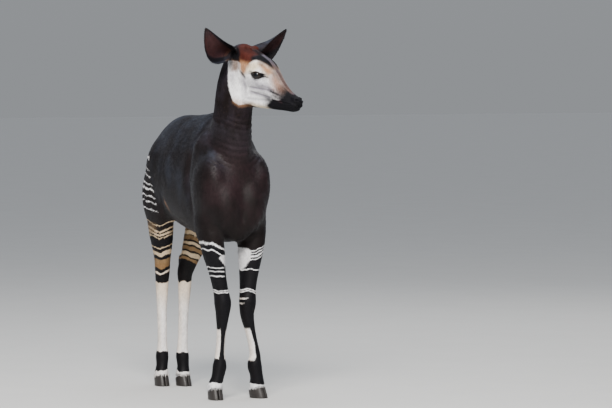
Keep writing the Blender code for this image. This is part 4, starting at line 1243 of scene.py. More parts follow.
def painted_sheen_and_chest_marks(places, normals):
    """Painted blue sky reflection on the upper sides, flanks and neck, and the purplish brown of chest and
    neck, with a painted highlight on the neck's sides.
    """
    y, z = places[:, 1], places[:, 2]
    sideways = np.abs(normals[:, 0])
    # Vertical streaks of painted sheen over the flanks
    sheen_streaks = 0.5 + 0.5 * np.sin(y * 47.0 + 2.6 * np.sin(z * 9.0 + y * 6.0)) * np.sin(z * 13.0 + y * 21.0)
    flank = ramp(0.35, 0.80, sideways) * ramp(0.78, 0.95, z) * ramp(-0.27, -0.18, y)
    # Painted sky reflection: grey-blue where the coat faces up, on the neck's front and on the neck's sides
    blue = 0.75 * ramp(0.10, 0.85, normals[:, 2]) * ramp(0.95, 1.10, z)
    blue = np.maximum(blue, 0.50 * sheen_streaks * flank)
    blue = np.maximum(blue, 0.22 * ramp(0.2, 0.9, -normals[:, 1]) * ramp(1.05, 1.2, z))
    blue = np.maximum(blue, 0.30 * ramp(0.35, 0.70, sideways) * ramp(1.12, 1.22, z) * ramp(-0.20, -0.26, y))
    chest = ramp(-0.10, -0.75, normals[:, 1]) * ramp(0.74, 0.86, z)
    # Painted highlight: lighter purplish brown on the sides of the neck
    neck_side_highlight = ramp(0.10, 0.55, sideways) * ramp(1.08, 1.18, z) * ramp(-0.16, -0.24, y)
    return {"blue": blue, "chest": np.maximum(chest, 0.75 * neck_side_highlight)}


def shank_share(normals, z, hind, right, out):
    """Share of a leg that is pale between knee or hock and fetlock."""
    rear = ramp(0.1, 0.7, normals[:, 1])
    both = ramp(0.45, 0.75, np.abs(normals[:, 0]))
    inner = ramp(-0.15, -0.5, normals[:, 0] * np.where(right, -1, 1))
    pale = np.where(right, np.maximum(both, rear), np.maximum(inner, rear * ramp(0.004, -0.010, out)))
    pale = pale * ramp(0.345, 0.290, z) * ramp(0.146, 0.196, z)
    pale = np.maximum(pale, hind)
    return pale * np.where(hind > 0.5, ramp(0.500, 0.486, z), ramp(0.478, 0.466, z))


def stain_and_shade_share(normals, z, behind):
    """Share of sandy stain on the pale hair of the legs, with painted shade on the sides of the lower legs.
    """
    tint = behind * (0.15 + 0.50 * ramp(0.32, 0.47, z)) * ramp(0.62, 0.56, z)
    # Painted shade: the sides of the lower legs darkened with the stain's tone
    tint = np.maximum(tint, 0.35 * (z < 0.48) * ramp(0.25, 0.95, np.abs(normals[:, 0])) * (z > 0.09))
    return np.maximum(tint, 0.35 * behind * ramp(0.52, 0.56, z) * ramp(0.80, 0.78, z))


def leg_marks(places, normals):
    """Heights for the legs' bands, their pale and dark patches, gold, and stain with painted shade on the
    lower legs' sides.
    """
    x, y, z = places.T
    hind, right, out = leg_measures(places)
    behind = hind > 0.5
    fore = (hind < 0.5) & (z < 0.74)
    pale_right = patch(out, z, INNER_PALE_RIGHT, 0.006)
    pale_left = patch(out, z, INNER_PALE_LEFT, 0.009)
    light = fore * np.where(right, pale_right, pale_left)
    for start, end, width in KNEE_LINES:
        light = np.maximum(light, (fore & ~right) * line_share(out, z, start, end, width))
    dark_right = patch(out, z, INNER_DARK_RIGHT, 0.005)
    dark_left = patch(out, z, INNER_DARK_LEFT, 0.005)
    deep = fore * np.where(right, dark_right, dark_left)
    across = x * 0.906 - y * 0.423
    thigh = ramp(0.715, 0.730, z) * ramp(0.775, 0.765, z)
    gold = 0.45 * behind * right * ramp(-0.222, -0.250, across) * thigh
    fold, share = path_distance(np.column_stack([np.abs(x), y, z]), FLANK_FOLD)
    gold = np.maximum(gold, 0.88 * bell(fold, 0.0095) * ramp(1.0, 0.45, share))
    return {
        "height": band_height(places, hind, right, out),
        "level": z,
        "pale": shank_share(normals, z, hind, right, out),
        "light": light,
        "deep": deep,
        "gold": gold,
        "tint": stain_and_shade_share(normals, z, behind),
    }


def paint(places, normals):
    """Markings at each point, as soft shares."""
    marks = painted_sheen_and_chest_marks(places, normals)
    marks.update(leg_marks(places, normals))
    marks.update(face_marks(places, normals))
    marks["plain"] = plain_share(places)
    return marks


def store_marks(mesh, marks, roots):
    """Keep markings and hair roots as attributes of a mesh's points."""
    for name, values in marks.items():
        layer = mesh.attributes.new(name, "FLOAT", "POINT")
        layer.data.foreach_set("value", np.asarray(values, np.float32))
    layer = mesh.attributes.new("root", "FLOAT_VECTOR", "POINT")
    layer.data.foreach_set("vector", np.asarray(roots, np.float32).ravel())


def hair_direction(places):
    """Unit directions in which the hair lies, before it is laid on the skin."""
    along, _, drop = head_measures(places)
    body = np.stack([places[:, 0] * 0.4, np.full(len(places), 0.85), -0.55 - 0 * places[:, 0]], 1)
    leg = np.stack([0 * places[:, 0], np.full(len(places), 0.12), np.full(len(places), -1.0)], 1)
    throat = np.stack([places[:, 0] * 1.5, np.full(len(places), 0.25), np.full(len(places), -0.95)], 1)
    back = -np.array(FORWARD)
    face = np.tile(back * 0.80 + np.array((0, 0, 0.10)), (len(places), 1))
    face = face - np.outer(ramp(0.14, 0.24, drop), (0, 0, 0.45))
    lower = ramp(0.80, 0.68, places[:, 2])[:, None]
    neck_share = (ramp(1.10, 1.24, places[:, 2]) * ramp(-0.12, -0.25, places[:, 1]))[:, None]
    face_share = ramp(-0.06, 0.02, along)[:, None] * ramp(1.245, 1.275, places[:, 2])[:, None]
    result = body * (1 - lower) + leg * lower
    result = result * (1 - neck_share) + throat * neck_share
    result = result * (1 - face_share) + face * face_share
    tail = (places[:, 1] > 0.475) & (places[:, 2] < 1.14)
    result[tail] = (0, 0.1, -1)
    for base, tip, *_ in EARS.values():
        spine = np.array(tip - base)
        share = (places - np.array(base)) @ spine / (spine @ spine)
        line = np.array(base) + np.outer(np.clip(share, 0, 1), spine)
        near = (share > 0.02) & (np.linalg.norm(places - line, axis=1) < 0.085)
        result[near] = spine / np.linalg.norm(spine)
    return result / np.linalg.norm(result, axis=1, keepdims=True)


# Materials


def new_material(name):
    """Material with its shader and output."""
    made = bpy.data.materials.new(name)
    made.use_nodes = True
    tree = made.node_tree
    return made, tree, tree.nodes["Principled BSDF"]


def node(tree, kind, place, inputs=()):
    """Add a node and set the plain inputs given as a table."""
    made = tree.nodes.new(kind)
    made.location = place
    set_inputs(made, dict(inputs))
    return made


def set_inputs(made, values):
    """Set inputs of a node to plain values."""
    for name, value in values.items():
        made.inputs[name].default_value = value


def mix_color(tree, factor, first, second, place, blend="MIX"):
    """Mix two colours or sockets by a factor socket; gives the result socket."""
    made = tree.nodes.new("ShaderNodeMix")
    made.data_type = "RGBA"
    made.blend_type = blend
    made.location = place
    for socket, value in ((made.inputs["Factor"], factor), (made.inputs[6], first), (made.inputs[7], second)):
        if isinstance(value, bpy.types.NodeSocket):
            tree.links.new(value, socket)
        else:
            socket.default_value = (*value, 1.0)
    return made.outputs[2]


def math_node(tree, operation, first, second, place, third=None):
    """Number from two or three numbers or sockets."""
    made = tree.nodes.new("ShaderNodeMath")
    made.operation = operation
    made.location = place
    for index, value in enumerate((first, second, third)):
        if value is None:
            continue
        if isinstance(value, bpy.types.NodeSocket):
            tree.links.new(value, made.inputs[index])
        else:
            made.inputs[index].default_value = value
    return made.outputs[0]


def attribute(tree, name, place):
    """Socket of a stored share."""
    made = tree.nodes.new("ShaderNodeAttribute")
    made.attribute_name = name
    made.location = place
    return made.outputs["Fac"]


def noise(tree, scale, place, stretch=(1.0, 1.0, 1.0), detail=2.0, source="root"):
    """Noise over each hair's root, or over the object's own place; gives its value socket."""
    if source:
        spot = node(tree, "ShaderNodeAttribute", (place[0] - 400, place[1]))
        spot.attribute_name = source
        start = spot.outputs["Vector"]
    else:
        spot = node(tree, "ShaderNodeTexCoord", (place[0] - 400, place[1]))
        start = spot.outputs["Object"]
    squeeze = node(tree, "ShaderNodeMapping", (place[0] - 200, place[1]), {"Scale": stretch})
    made = node(tree, "ShaderNodeTexNoise", place, {"Scale": scale, "Detail": detail, "Roughness": 0.55})
    tree.links.new(start, squeeze.inputs["Vector"])
    tree.links.new(squeeze.outputs["Vector"], made.inputs["Vector"])
    return made.outputs["Fac"]


def group_start(name, inputs, outputs):
    """New shader node group with named number, colour or vector sockets."""
    tree = bpy.data.node_groups.new(name, "ShaderNodeTree")
    for label, kind, default in inputs:
        socket = tree.interface.new_socket(name=label, in_out="INPUT", socket_type=kind)
        if default is not None:
            socket.default_value = default
    for label, kind in outputs:
        tree.interface.new_socket(name=label, in_out="OUTPUT", socket_type=kind)
    entry = node(tree, "NodeGroupInput", (-900, 0))
    leave = node(tree, "NodeGroupOutput", (900, 0))
    return tree, entry, leave


def fur_group():
    """Fine streaks of short hair: colour change and relief."""
    if "Short fur" in bpy.data.node_groups:
        return bpy.data.node_groups["Short fur"]
    tree, entry, leave = group_start(
        "Short fur",
        [("Color", "NodeSocketColor", (0.5, 0.5, 0.5, 1.0)), ("Contrast", "NodeSocketFloat", 0.35)],
        [("Color", "NodeSocketColor"), ("Height", "NodeSocketFloat")],
    )
    streaks = noise(tree, 420.0, (-500, 200), (1.0, 0.35, 0.22), 3.0)
    clumps = noise(tree, 70.0, (-500, -100), (1.0, 0.6, 0.5), 2.0)
    patches = noise(tree, 9.0, (-500, -400), (1.0, 1.0, 1.0), 2.0)
    total = math_node(tree, "MULTIPLY_ADD", streaks, 0.55, (-200, 100), 0.10)
    total = math_node(tree, "MULTIPLY_ADD", clumps, 0.35, (0, 100), total)
    height = total
    total = math_node(tree, "MULTIPLY_ADD", patches, 0.35, (150, 0), total)
    centred = math_node(tree, "SUBTRACT", total, 0.72, (300, 0))
    scaled = math_node(tree, "MULTIPLY", centred, entry.outputs["Contrast"], (450, 0))
    gain = math_node(tree, "MULTIPLY_ADD", scaled, 4.0, (600, 0), 1.0)
    shade = node(tree, "ShaderNodeVectorMath", (750, 100))
    shade.operation = "SCALE"
    tree.links.new(entry.outputs["Color"], shade.inputs[0])
    tree.links.new(gain, shade.inputs["Scale"])
    tree.links.new(shade.outputs[0], leave.inputs["Color"])
    tree.links.new(height, leave.inputs["Height"])
    return tree


def dark_coat_group():
    """Dark chocolate coat with a painted blue sky reflection above, a purplish chest and a painted purplish
    highlight on the neck's sides.
    """
    if "Dark coat" in bpy.data.node_groups:
        return bpy.data.node_groups["Dark coat"]
    colors = bpy.context.scene.okapi_colors
    tree, _, leave = group_start("Dark coat", [], [("Color", "NodeSocketColor")])
    blotch = noise(tree, 7.0, (-600, 300), (1.0, 1.0, 0.6), 3.0)
    streak = noise(tree, 34.0, (-600, 600), (1.0, 0.5, 0.5), 3.0)
    both = math_node(tree, "MULTIPLY_ADD", streak, 0.7, (-450, 450), blotch)
    soft = math_node(tree, "MULTIPLY_ADD", both, 3.2, (-350, 300), -2.10)
    soft = math_node(tree, "MAXIMUM", soft, 0.0, (-300, 200))
    # Painted sky reflection and chest tone, both broken up by the mottling
    blue = math_node(tree, "MULTIPLY", attribute(tree, "blue", (-600, 100)), soft, (-200, 150))
    chest = math_node(tree, "MULTIPLY", attribute(tree, "chest", (-600, -100)), soft, (-200, -50))
    color = mix_color(tree, chest, tuple(colors.dark), tuple(colors.chest), (50, 0))
    color = mix_color(tree, blue, color, tuple(colors.blue), (250, 0))
    tree.links.new(color, leave.inputs["Color"])
    return tree


def jagged(tree, mask, place, low=0.35, high=0.65, amount=0.9):
    """Soft share turned to an edge that hair breaks up."""
    grain = noise(tree, 330.0, (place[0] - 250, place[1]), (1.0, 0.5, 0.35), 2.0)
    shaken = math_node(tree, "MULTIPLY_ADD", grain, amount, place, mask)
    span = {"From Min": low + amount * 0.5, "From Max": high + amount * 0.5}
    made = node(tree, "ShaderNodeMapRange", (place[0] + 200, place[1]), span)
    tree.links.new(shaken, made.inputs["Value"])
    return made.outputs["Result"]


def finish_fur(made, tree, shader, color, contrast, roughness, sheen, relief, gloss=0.15):
    """Send a colour through the short fur group to the shader."""
    fur = node(tree, "ShaderNodeGroup", (700, 0))
    fur.node_tree = fur_group()
    fur.inputs["Contrast"].default_value = contrast
    tree.links.new(color, fur.inputs["Color"])
    bump = node(tree, "ShaderNodeBump", (900, -200), {"Strength": relief, "Distance": 0.0012})
    tree.links.new(fur.outputs["Height"], bump.inputs["Height"])
    tree.links.new(fur.outputs["Color"], shader.inputs["Base Color"])
    tree.links.new(bump.outputs["Normal"], shader.inputs["Normal"])
    set_inputs(
        shader,
        {
            "Roughness": roughness,
            "Specular IOR Level": gloss,
            "Sheen Weight": sheen,
            "Sheen Roughness": 0.45,
            "Sheen Tint": (0.80, 0.86, 1.0, 1.0),
        },
    )
    shader.location = (1150, 0)
    tree.nodes["Material Output"].location = (1450, 0)
    return made


def body_material():
    """Dark coat of trunk, neck and tail."""
    colors = bpy.context.scene.okapi_colors
    made, tree, shader = new_material("coat_dark")
    dark = node(tree, "ShaderNodeGroup", (200, 0))
    dark.node_tree = dark_coat_group()
    share = attribute(tree, "gold", (200, 300))
    gold = mix_color(tree, share, dark.outputs["Color"], tuple(colors.tan), (450, 100))
    return finish_fur(made, tree, shader, gold, 0.6, 0.48, 0.05, 0.5)


# Colours of the face from the lowest layer up: how far hair breaks up the edge, and its hardness
FACE_LAYERS = (
    ("white", 0.70, 0.20),
    ("cream", 0.30, 0.02),
    # grey: painted shade on the cheeks, painted highlight on the nose ridge
    ("grey", 0.20, 0.02),
    ("tan", 0.35, 0.04),
    ("rust", 0.35, 0.04),
    ("black", 0.30, 0.06),
)


def face_material():
    """White cheeks with grey painted shade, cream lids, rust forehead, tan patches and black muzzle over the
    dark coat.
    """
    colors = bpy.context.scene.okapi_colors
    made, tree, shader = new_material("coat_face")
    dark = node(tree, "ShaderNodeGroup", (-400, 300))
    dark.node_tree = dark_coat_group()
    color = dark.outputs["Color"]
    for index, (name, amount, soft) in enumerate(FACE_LAYERS):
        share = attribute(tree, name, (-1200, 200 - 300 * index))
        edge = jagged(tree, share, (-700, 200 - 300 * index), soft, 1.0 - soft, amount)
        if name == "cream":
            edge = math_node(tree, "MULTIPLY", edge, attribute(tree, "white", (-400, -600)), (-300, -600))
        color = mix_color(tree, edge, color, tuple(getattr(colors, name)), (index * 180 - 100, 100))
    return finish_fur(made, tree, shader, color, 0.42, 0.60, 0.01, 0.45, 0.09)


def in_turn(heights, *names):
    """Bands that take turns in colour from the top down."""
    return [(height, names[index % len(names)]) for index, height in enumerate(heights)]


# Bands from the top down: height where each starts, and its colour
BANDS = {
    "fore_right": in_turn([0.7600], "dark")
    + in_turn(
        [0.6897, 0.6783, 0.6597, 0.6532, 0.5968, 0.5923, 0.5787, 0.5743, 0.5587, 0.5543]
        + [0.4928, 0.4898, 0.4843, 0.4788, 0.0720],
        "white",
        "black",
    ),
    "fore_left": in_turn([0.7600], "dark")
    + in_turn(
        [0.6777, 0.6723, 0.6627, 0.6573, 0.6478, 0.6422, 0.6328, 0.6272, 0.6168, 0.6142]
        + [0.5847, 0.5813, 0.5637, 0.5613, 0.4928, 0.4893, 0.4838, 0.4773, 0.0580],
        "white",
        "black",
    ),
    "hind_right": in_turn(
        [1.0790, 1.0745, 1.0320, 1.0270, 1.0010, 0.9960, 0.9600, 0.9545, 0.9370, 0.9315]
        + [0.9050, 0.9005, 0.8770, 0.8710, 0.8390, 0.8290],
        "white",
        "dark",
    )
    + in_turn([0.7550, 0.7490, 0.7270, 0.7215, 0.7090, 0.7040, 0.6940], "cream", "dark")
    + in_turn([0.6885, 0.6475, 0.6420, 0.6250], "black", "cream", "dark", "cream")
    + in_turn([0.6050, 0.5900, 0.5430, 0.5265, 0.5200], "black", "sand", "black", "white", "black"),
    "hind_left": in_turn([1.1100], "dark")
    + in_turn(
        [1.0588, 1.0553, 1.0168, 1.0123, 0.9808, 0.9762, 0.9487, 0.9433, 0.9107, 0.9052]
        + [0.8668, 0.8592, 0.8347, 0.8233],
        "white",
        "dark",
    )
    + in_turn(
        [0.7638, 0.7472, 0.7410, 0.7240, 0.7177, 0.7033, 0.6960, 0.6800, 0.6727, 0.6573]
        + [0.6500, 0.6320, 0.6238, 0.6072, 0.5970, 0.5830],
        "cream",
        "black",
        "sand",
        "black",
    ),
}
SHANKS = {
    "fore_right": in_turn([0.470, 0.318, 0.182, 0.072], "black", "white"),
    "fore_left": in_turn([0.470, 0.336, 0.156, 0.060], "black", "white"),
    "hind_right": in_turn([0.560, 0.484, 0.158, 0.066], "black", "white"),
    "hind_left": in_turn([0.560, 0.486, 0.158, 0.066], "black", "white"),
}
RAMP_TOP = 1.12


def fill_ramp(made, tones):
    """Give a colour ramp node its rows of start and colour."""
    stops = made.color_ramp.elements
    while len(stops) < len(tones):
        stops.new(1.0)
    for stop, (start, tone) in zip(stops, tones):
        stop.position = start
        stop.color = (*tone, 1.0)


def band_ramp(tree, height, bands, place):
    """Colour by height from a list of bands, with hard edges."""
    colors = bpy.context.scene.okapi_colors
    made = node(tree, "ShaderNodeValToRGB", place)
    made.color_ramp.interpolation = "CONSTANT"
    ends = [top for top, name in bands[1:]] + [0.0]
    rising = [(end / RAMP_TOP, getattr(colors, name)) for end, (top, name) in zip(ends, bands)]
    fill_ramp(made, rising[::-1])
    tree.links.new(height, made.inputs["Fac"])
    return made.outputs["Color"]


def band_place(tree, height, waver, hairs, amounts, row):
    """Height shaken by slow wander and by hairs, as a share of the ramp's top."""
    slow, fine, shift = amounts
    shaken = math_node(tree, "MULTIPLY_ADD", waver, slow, (-700, row), height)
    shaken = math_node(tree, "MULTIPLY_ADD", hairs, fine, (-550, row), shaken)
    shaken = math_node(tree, "SUBTRACT", shaken, shift, (-400, row))
    return math_node(tree, "MULTIPLY", shaken, 1.0 / RAMP_TOP, (-250, row))


def leg_material(name):
    """Striped leg: wavering bands, a pale shank between knee and foot, soft patches, and sandy stain with
    painted shade.
    """
    colors = bpy.context.scene.okapi_colors
    made, tree, shader = new_material("coat_" + name)
    height = attribute(tree, "height", (-1500, 300))
    level = attribute(tree, "level", (-1500, 100))
    waver = noise(tree, 24.0, (-1300, -100), (1.0, 1.0, 0.35), 2.0)
    hairs = noise(tree, 300.0, (-1300, -350), (1.0, 1.0, 0.25), 2.0)
    tilted = band_place(tree, height, waver, hairs, (0.026, 0.005, 0.0155), 300)
    striped = band_ramp(tree, tilted, BANDS[name], (-50, 400))
    plain = band_place(tree, level, waver, hairs, (0.050, 0.008, 0.029), 0)
    shank = band_ramp(tree, plain, SHANKS[name], (-50, 0))
    use = jagged(tree, attribute(tree, "pale", (-400, -400)), (0, -400), 0.40, 0.60, 0.5)
    color = mix_color(tree, use, striped, shank, (250, 200))
    patches = (("light", tuple(c * 0.85 for c in colors.white), 1.1), ("deep", tuple(colors.black), 0.6))
    for index, (mark, tone, amount) in enumerate(patches):
        row = 700 + 300 * index
        edge = jagged(tree, attribute(tree, mark, (0, row)), (250, row), 0.3, 0.7, amount)
        color = mix_color(tree, edge, color, tone, (400 + 100 * index, 300))
    color = mix_color(tree, attribute(tree, "gold", (400, 700)), color, tuple(colors.sand), (550, 300))
    # Sandy stain, with painted shade on the legs' sides, multiplied in
    tint = attribute(tree, "tint", (400, 1000))
    color = mix_color(tree, tint, color, tuple(colors.stain_and_shade), (600, 300), "MULTIPLY")
    dark = node(tree, "ShaderNodeGroup", (200, -100))
    dark.node_tree = dark_coat_group()
    rest = jagged(tree, attribute(tree, "plain", (200, -300)), (350, -300), 0.3, 0.7, 0.6)
    color = mix_color(tree, rest, color, dark.outputs["Color"], (600, 100))
    return finish_fur(made, tree, shader, color, 0.38, 0.52, 0.03, 0.35)


# Materials of the skin and coat, in the order of region_of
COAT_MATERIALS = (
    "coat_dark",
    "coat_face",
    "coat_fore_right",
    "coat_fore_left",
    "coat_hind_right",
    "coat_hind_left",
)


def coat_materials():
    """The coat's materials in the order of region_of, made once."""
    if "coat_dark" not in bpy.data.materials:
        body_material()
        face_material()
        for name in BANDS:
            leg_material(name)
    return [bpy.data.materials[name] for name in COAT_MATERIALS]


# The skin and its coat


def plain_share(places):
    """Share of a leg's surface that keeps the plain dark coat, above the stripes."""
    y, z = places[:, 1], places[:, 2]
    edge = 0.225 + 0.24 * np.maximum(z - 0.80, 0.0)
    haunch = ramp(edge + 0.024, edge - 0.024, y) * ramp(0.765, 0.80, z)
    haunch = np.maximum(haunch, ramp(1.0765, 1.0815, z))
    return np.where(y > 0.02, haunch, ramp(0.712, 0.735, z))


def region_of(places):
    """Number of the material at each point: trunk, face, then the four legs."""
    x, y, z = places.T
    region = np.zeros(len(places), int)
    region[(z > 1.24 + 0.333 * (y + 0.36)) & (y < -0.15)] = 1
    fore = (y < 0.0) & (z < 0.745)
    hind = (y > 0.12) & (z < 1.10)
    right = x < LEG_SPLIT_X
    region[fore & right] = 2
    region[fore & ~right] = 3
    region[hind & right] = 4
    region[hind & ~right] = 5
    region[(y > 0.478) & (z > 0.70)] = 0
    return region


def build_skin():
    """Fuse, weld and shape the whole skin, in design metres."""
    coat = bpy.context.scene.okapi_coat
    workshop = bpy.data.collections.new("workshop")
    bpy.context.scene.collection.children.link(workshop)
    heads = bpy.data.collections.new("head_workshop")
    bpy.context.scene.collection.children.link(heads)
    trunk(workshop)
    neck(workshop)
    muscles(workshop)
    fore_leg("fore_right", -1, (-0.052, -0.320), (-0.059, -0.300), workshop)
    fore_leg("fore_left", 1, (0.070, -0.320), (0.113, -0.300), workshop)
    hind_leg("hind_right", -1, (-0.043, 0.405), (-0.040, 0.416), 0.55, workshop)
    hind_leg("hind_left", 1, (0.056, 0.366), (0.045, 0.374), 1.0, workshop)
    tail_root(workshop)
    dock(workshop)
    body = fuse(workshop, "body", coat.body_voxel, 5)
    places = points_of(body.data)
    smooth_where(body, ramp(0.66, 0.82, places[:, 2]) * (places[:, 1] < 0.49), 36)
    cut_feet(body)
    skull(heads)
    head_features(heads)
    neck(heads)
    head = fuse(heads, "head", coat.head_voxel, 18)
    places = points_of(head.data)
    set_points(head.data, places - normals_of(head.data) * coat.face_depth)
    for name in EARS:
        shell = ear(name, heads)
        union = head.modifiers.new("ear", "BOOLEAN")
        union.operation = "UNION"
        union.solver = "MANIFOLD"
        union.object = shell
        apply_all(head)
        bpy.data.objects.remove(shell, do_unlink=True)
    places = points_of(head.data)
    for root, *_ in EARS.values():
        away = np.linalg.norm(places - np.array(root), axis=1)
        smooth_where(head, ramp(0.040, 0.022, away) * 0.8, 10)
    places = points_of(body.data)
    set_points(body.data, places - normals_of(body.data) * coat_depth(places)[:, None])
    skin = weld_head(body, head, bpy.context.scene.collection)
    shape_folds(skin)
    shape_eyes(skin)
    shape_mouth_and_nose(skin)
    for collection in (workshop, heads):
        bpy.data.collections.remove(collection)
    return skin


def unwrap(thing):
    """Lay the skin out flat in a map of its own, for baking."""
    bpy.context.view_layer.objects.active = thing
    thing.select_set(True)
    thing.data.uv_layers.new(name="OFBake")
    bpy.ops.object.mode_set(mode="EDIT")
    bpy.ops.mesh.select_all(action="SELECT")
    bpy.ops.uv.smart_project(angle_limit=math.radians(66.0), island_margin=0.001)
    bpy.ops.object.mode_set(mode="OBJECT")
    thing.select_set(False)


class OKAPI_OT_skin(bpy.types.Operator):
    """Build the one skin and paint its markings"""

    bl_idname = "okapi.skin"
    bl_label = "Build skin"

    def execute(self, context):
        skin = build_skin()
        mesh = skin.data
        work = bmesh.new()
        work.from_mesh(mesh)
        bmesh.ops.triangulate(work, faces=work.faces)
        work.to_mesh(mesh)
        work.free()
        places = points_of(mesh)
        store_marks(mesh, paint(places, normals_of(mesh)), places)
        for made in coat_materials():
            mesh.materials.append(made)
        middles = places[corners_of(mesh)].mean(1)
        mesh.polygons.foreach_set("material_index", region_of(middles).astype(np.int32))
        mesh.shade_smooth()
        unwrap(skin)
        set_points(mesh, places + np.array(shift_to_frame()))
        context.view_layer.update()
        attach(skin, "root")
        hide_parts(*FLESH_NODES)
        return {"FINISHED"}


class Roots:
    """Triangles of the finished skin, ready to be sown with hair."""

    def __init__(self, skin):
        mesh = skin.data
        self.places = points_of(mesh) - np.array(shift_to_frame())
        self.normals = normals_of(mesh)
        self.corners = corners_of(mesh)
        self.layout = gathered(mesh.uv_layers["OFBake"].data, "uv", 2, np.float32).reshape(-1, 3, 2)
        self.material = gathered(mesh.polygons, "material_index").ravel()
        a, b, c = (self.places[self.corners[:, index]] for index in range(3))
        self.area = np.linalg.norm(np.cross(b - a, c - a), axis=1) / 2
        self.middle = (a + b + c) / 3

    def sow(self, chosen, spacing, rng):
        """Random roots over the chosen triangles, about spacing apart."""
        faces = np.nonzero(chosen)[0]
        weight = self.area[faces] / spacing[faces] ** 2
        density = bpy.context.scene.okapi_coat.density
        count = int(weight.sum() * density)
        picked = faces[rng.choice(len(faces), count, p=weight / weight.sum())]
        share = rng.random((count, 2))
        folded = share.sum(1) > 1
        share[folded] = 1 - share[folded]
        share = np.column_stack([1 - share.sum(1), share])
        corners = self.corners[picked]
        place = (self.places[corners] * share[:, :, None]).sum(1)
        normal = (self.normals[corners] * share[:, :, None]).sum(1)
        normal /= np.linalg.norm(normal, axis=1, keepdims=True)
        layout = (self.layout[picked] * share[:, :, None]).sum(1)
        return place, normal, layout


def lay_flat(direction, normal):
    """Directions pressed onto the surface."""
    flat = direction - normal * (direction * normal).sum(1, keepdims=True)
    return flat / np.maximum(np.linalg.norm(flat, axis=1, keepdims=True), 1e-6)


# Triangles of a tuft over its root, two sides, ridge and tip, and its patch on the skin's map
TUFT_FACES = np.array([(0, 3, 1), (0, 2, 3), (0, 1, 2), (4, 1, 3), (4, 3, 2), (4, 2, 1)])
TUFT_SPOT = np.array([(-0.0013, 0.0), (0.0, 0.0013), (0.0, -0.0013), (0.0004, 0.0), (0.0015, 0.0)])


def tuft_piece(name, roots, lie, length, width, lift):
    """One piece of the coat: a closed, pointed spindle over each root."""
    place, normal, layout = roots
    count = len(place)
    colored = place + lie * (np.broadcast_to(length, count) * 0.5)[:, None]
    material = region_of(colored)
    side = np.cross(normal, lie)
    length, width, lift = (np.broadcast_to(value, count)[:, None] for value in (length, width, lift))
    middle = place + lie * length * 0.42 + normal * lift
    points = np.stack(
        [
            place - normal * width * 0.4,
            middle + side * width * 0.5,
            middle - side * width * 0.5,
            middle + normal * width * 0.34,
            place + lie * length + normal * lift * 0.9,
        ],
        1,
    )
    mesh = sown_mesh(name, points, TUFT_FACES, paint(colored, normal), colored, layout, TUFT_SPOT)
    for made in coat_materials():
        mesh.materials.append(made)
    mesh.polygons.foreach_set("material_index", np.repeat(material, len(TUFT_FACES)).astype(np.int32))
    tilt = np.stack([normal, normal + side * 0.45, normal - side * 0.45, normal, normal + lie * 0.15], 1)
    tilt = tilt.reshape(-1, 3)
    tilt /= np.linalg.norm(tilt, axis=1, keepdims=True)
    mesh.shade_smooth()
    mesh.normals_split_custom_set_from_vertices(tilt.tolist())
    piece = mesh_object(name, mesh, bpy.context.scene.collection)
    bpy.context.view_layer.update()
    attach(piece, "root")
    return piece


def raw_mesh(name, points, faces):
    """Mesh straight from arrays of points and triangles."""
    mesh = bpy.data.meshes.new(name)
    mesh.vertices.add(len(points))
    mesh.vertices.foreach_set("co", np.asarray(points, np.float32).ravel())
    mesh.loops.add(len(faces) * 3)
    mesh.loops.foreach_set("vertex_index", faces.astype(np.int32).ravel())
    mesh.polygons.add(len(faces))
    mesh.polygons.foreach_set("loop_start", np.arange(0, len(faces) * 3, 3, dtype=np.int32))
    mesh.update(calc_edges=True)
    return mesh


def sown_mesh(name, points, pattern, marks, roots, layout, spot):
    """Mesh of like forms, one to a root, with the marks and the map place of each root."""
    count, size = points.shape[:2]
    faces = (pattern[None] + size * np.arange(count)[:, None, None]).reshape(-1, 3)
    mesh = raw_mesh(name, points.reshape(-1, 3) + np.array(shift_to_frame()), faces)
    spread = {key: np.repeat(values, size) for key, values in marks.items()}
    store_marks(mesh, spread, np.repeat(roots, size, 0))
    flat = np.repeat(layout, size, 0) + np.tile(spot, (count, 1))
    mesh.uv_layers.new(name="OFBake").data.foreach_set("uv", flat[faces.ravel()].astype(np.float32).ravel())
    return mesh


def turned(lie, normal, angle):
    """Directions turned about the normals by an angle each."""
    side = np.cross(normal, lie)
    return lie * np.cos(angle)[:, None] + side * np.sin(angle)[:, None]


def swirl(places):
    """Slow wander of the hair's direction over the body, in radians."""
    x, y, z = places.T
    return 0.16 * np.sin(9 * y + 5 * z + 2 * np.sin(7 * z)) + 0.10 * np.sin(23 * z - 17 * y + 11 * x)


def regions(roots):
    """Named parts of the skin for the coat's pieces, as masks over its triangles."""
    middle = roots.middle
    along, _, drop = head_measures(middle)
    material = roots.material
    ears = ear_mask(middle)[0] > 0.06
    right = middle[:, 0] < 0.0
    face = (material == 1) & ~ears & (middle[:, 2] > 1.30) & ((along > -0.035) | (drop < 0.10))
    neck_part = ~ears & ~face & ((material == 1) | ((middle[:, 2] > 1.05) & (middle[:, 1] < -0.25)))
    tail = (middle[:, 1] > 0.490) & (middle[:, 2] < 1.13)
    rest = ~ears & ~face & ~neck_part & ~tail
    low = middle[:, 2] < 0.70
    front = middle[:, 1] < 0.0
    return {
        "coat_ears": ears,
        "coat_face": face,
        "coat_neck": neck_part,
        "coat_trunk_right": rest & ~low & right,
        "coat_trunk_left": rest & ~low & ~right,
        "coat_leg_fore_right": rest & low & front & (middle[:, 0] < LEG_SPLIT_X),
        "coat_leg_fore_left": rest & low & front & (middle[:, 0] >= LEG_SPLIT_X),
        "coat_leg_hind_right": rest & low & ~front & right,
        "coat_leg_hind_left": rest & low & ~front & ~right,
        "coat_tail": tail,
    }


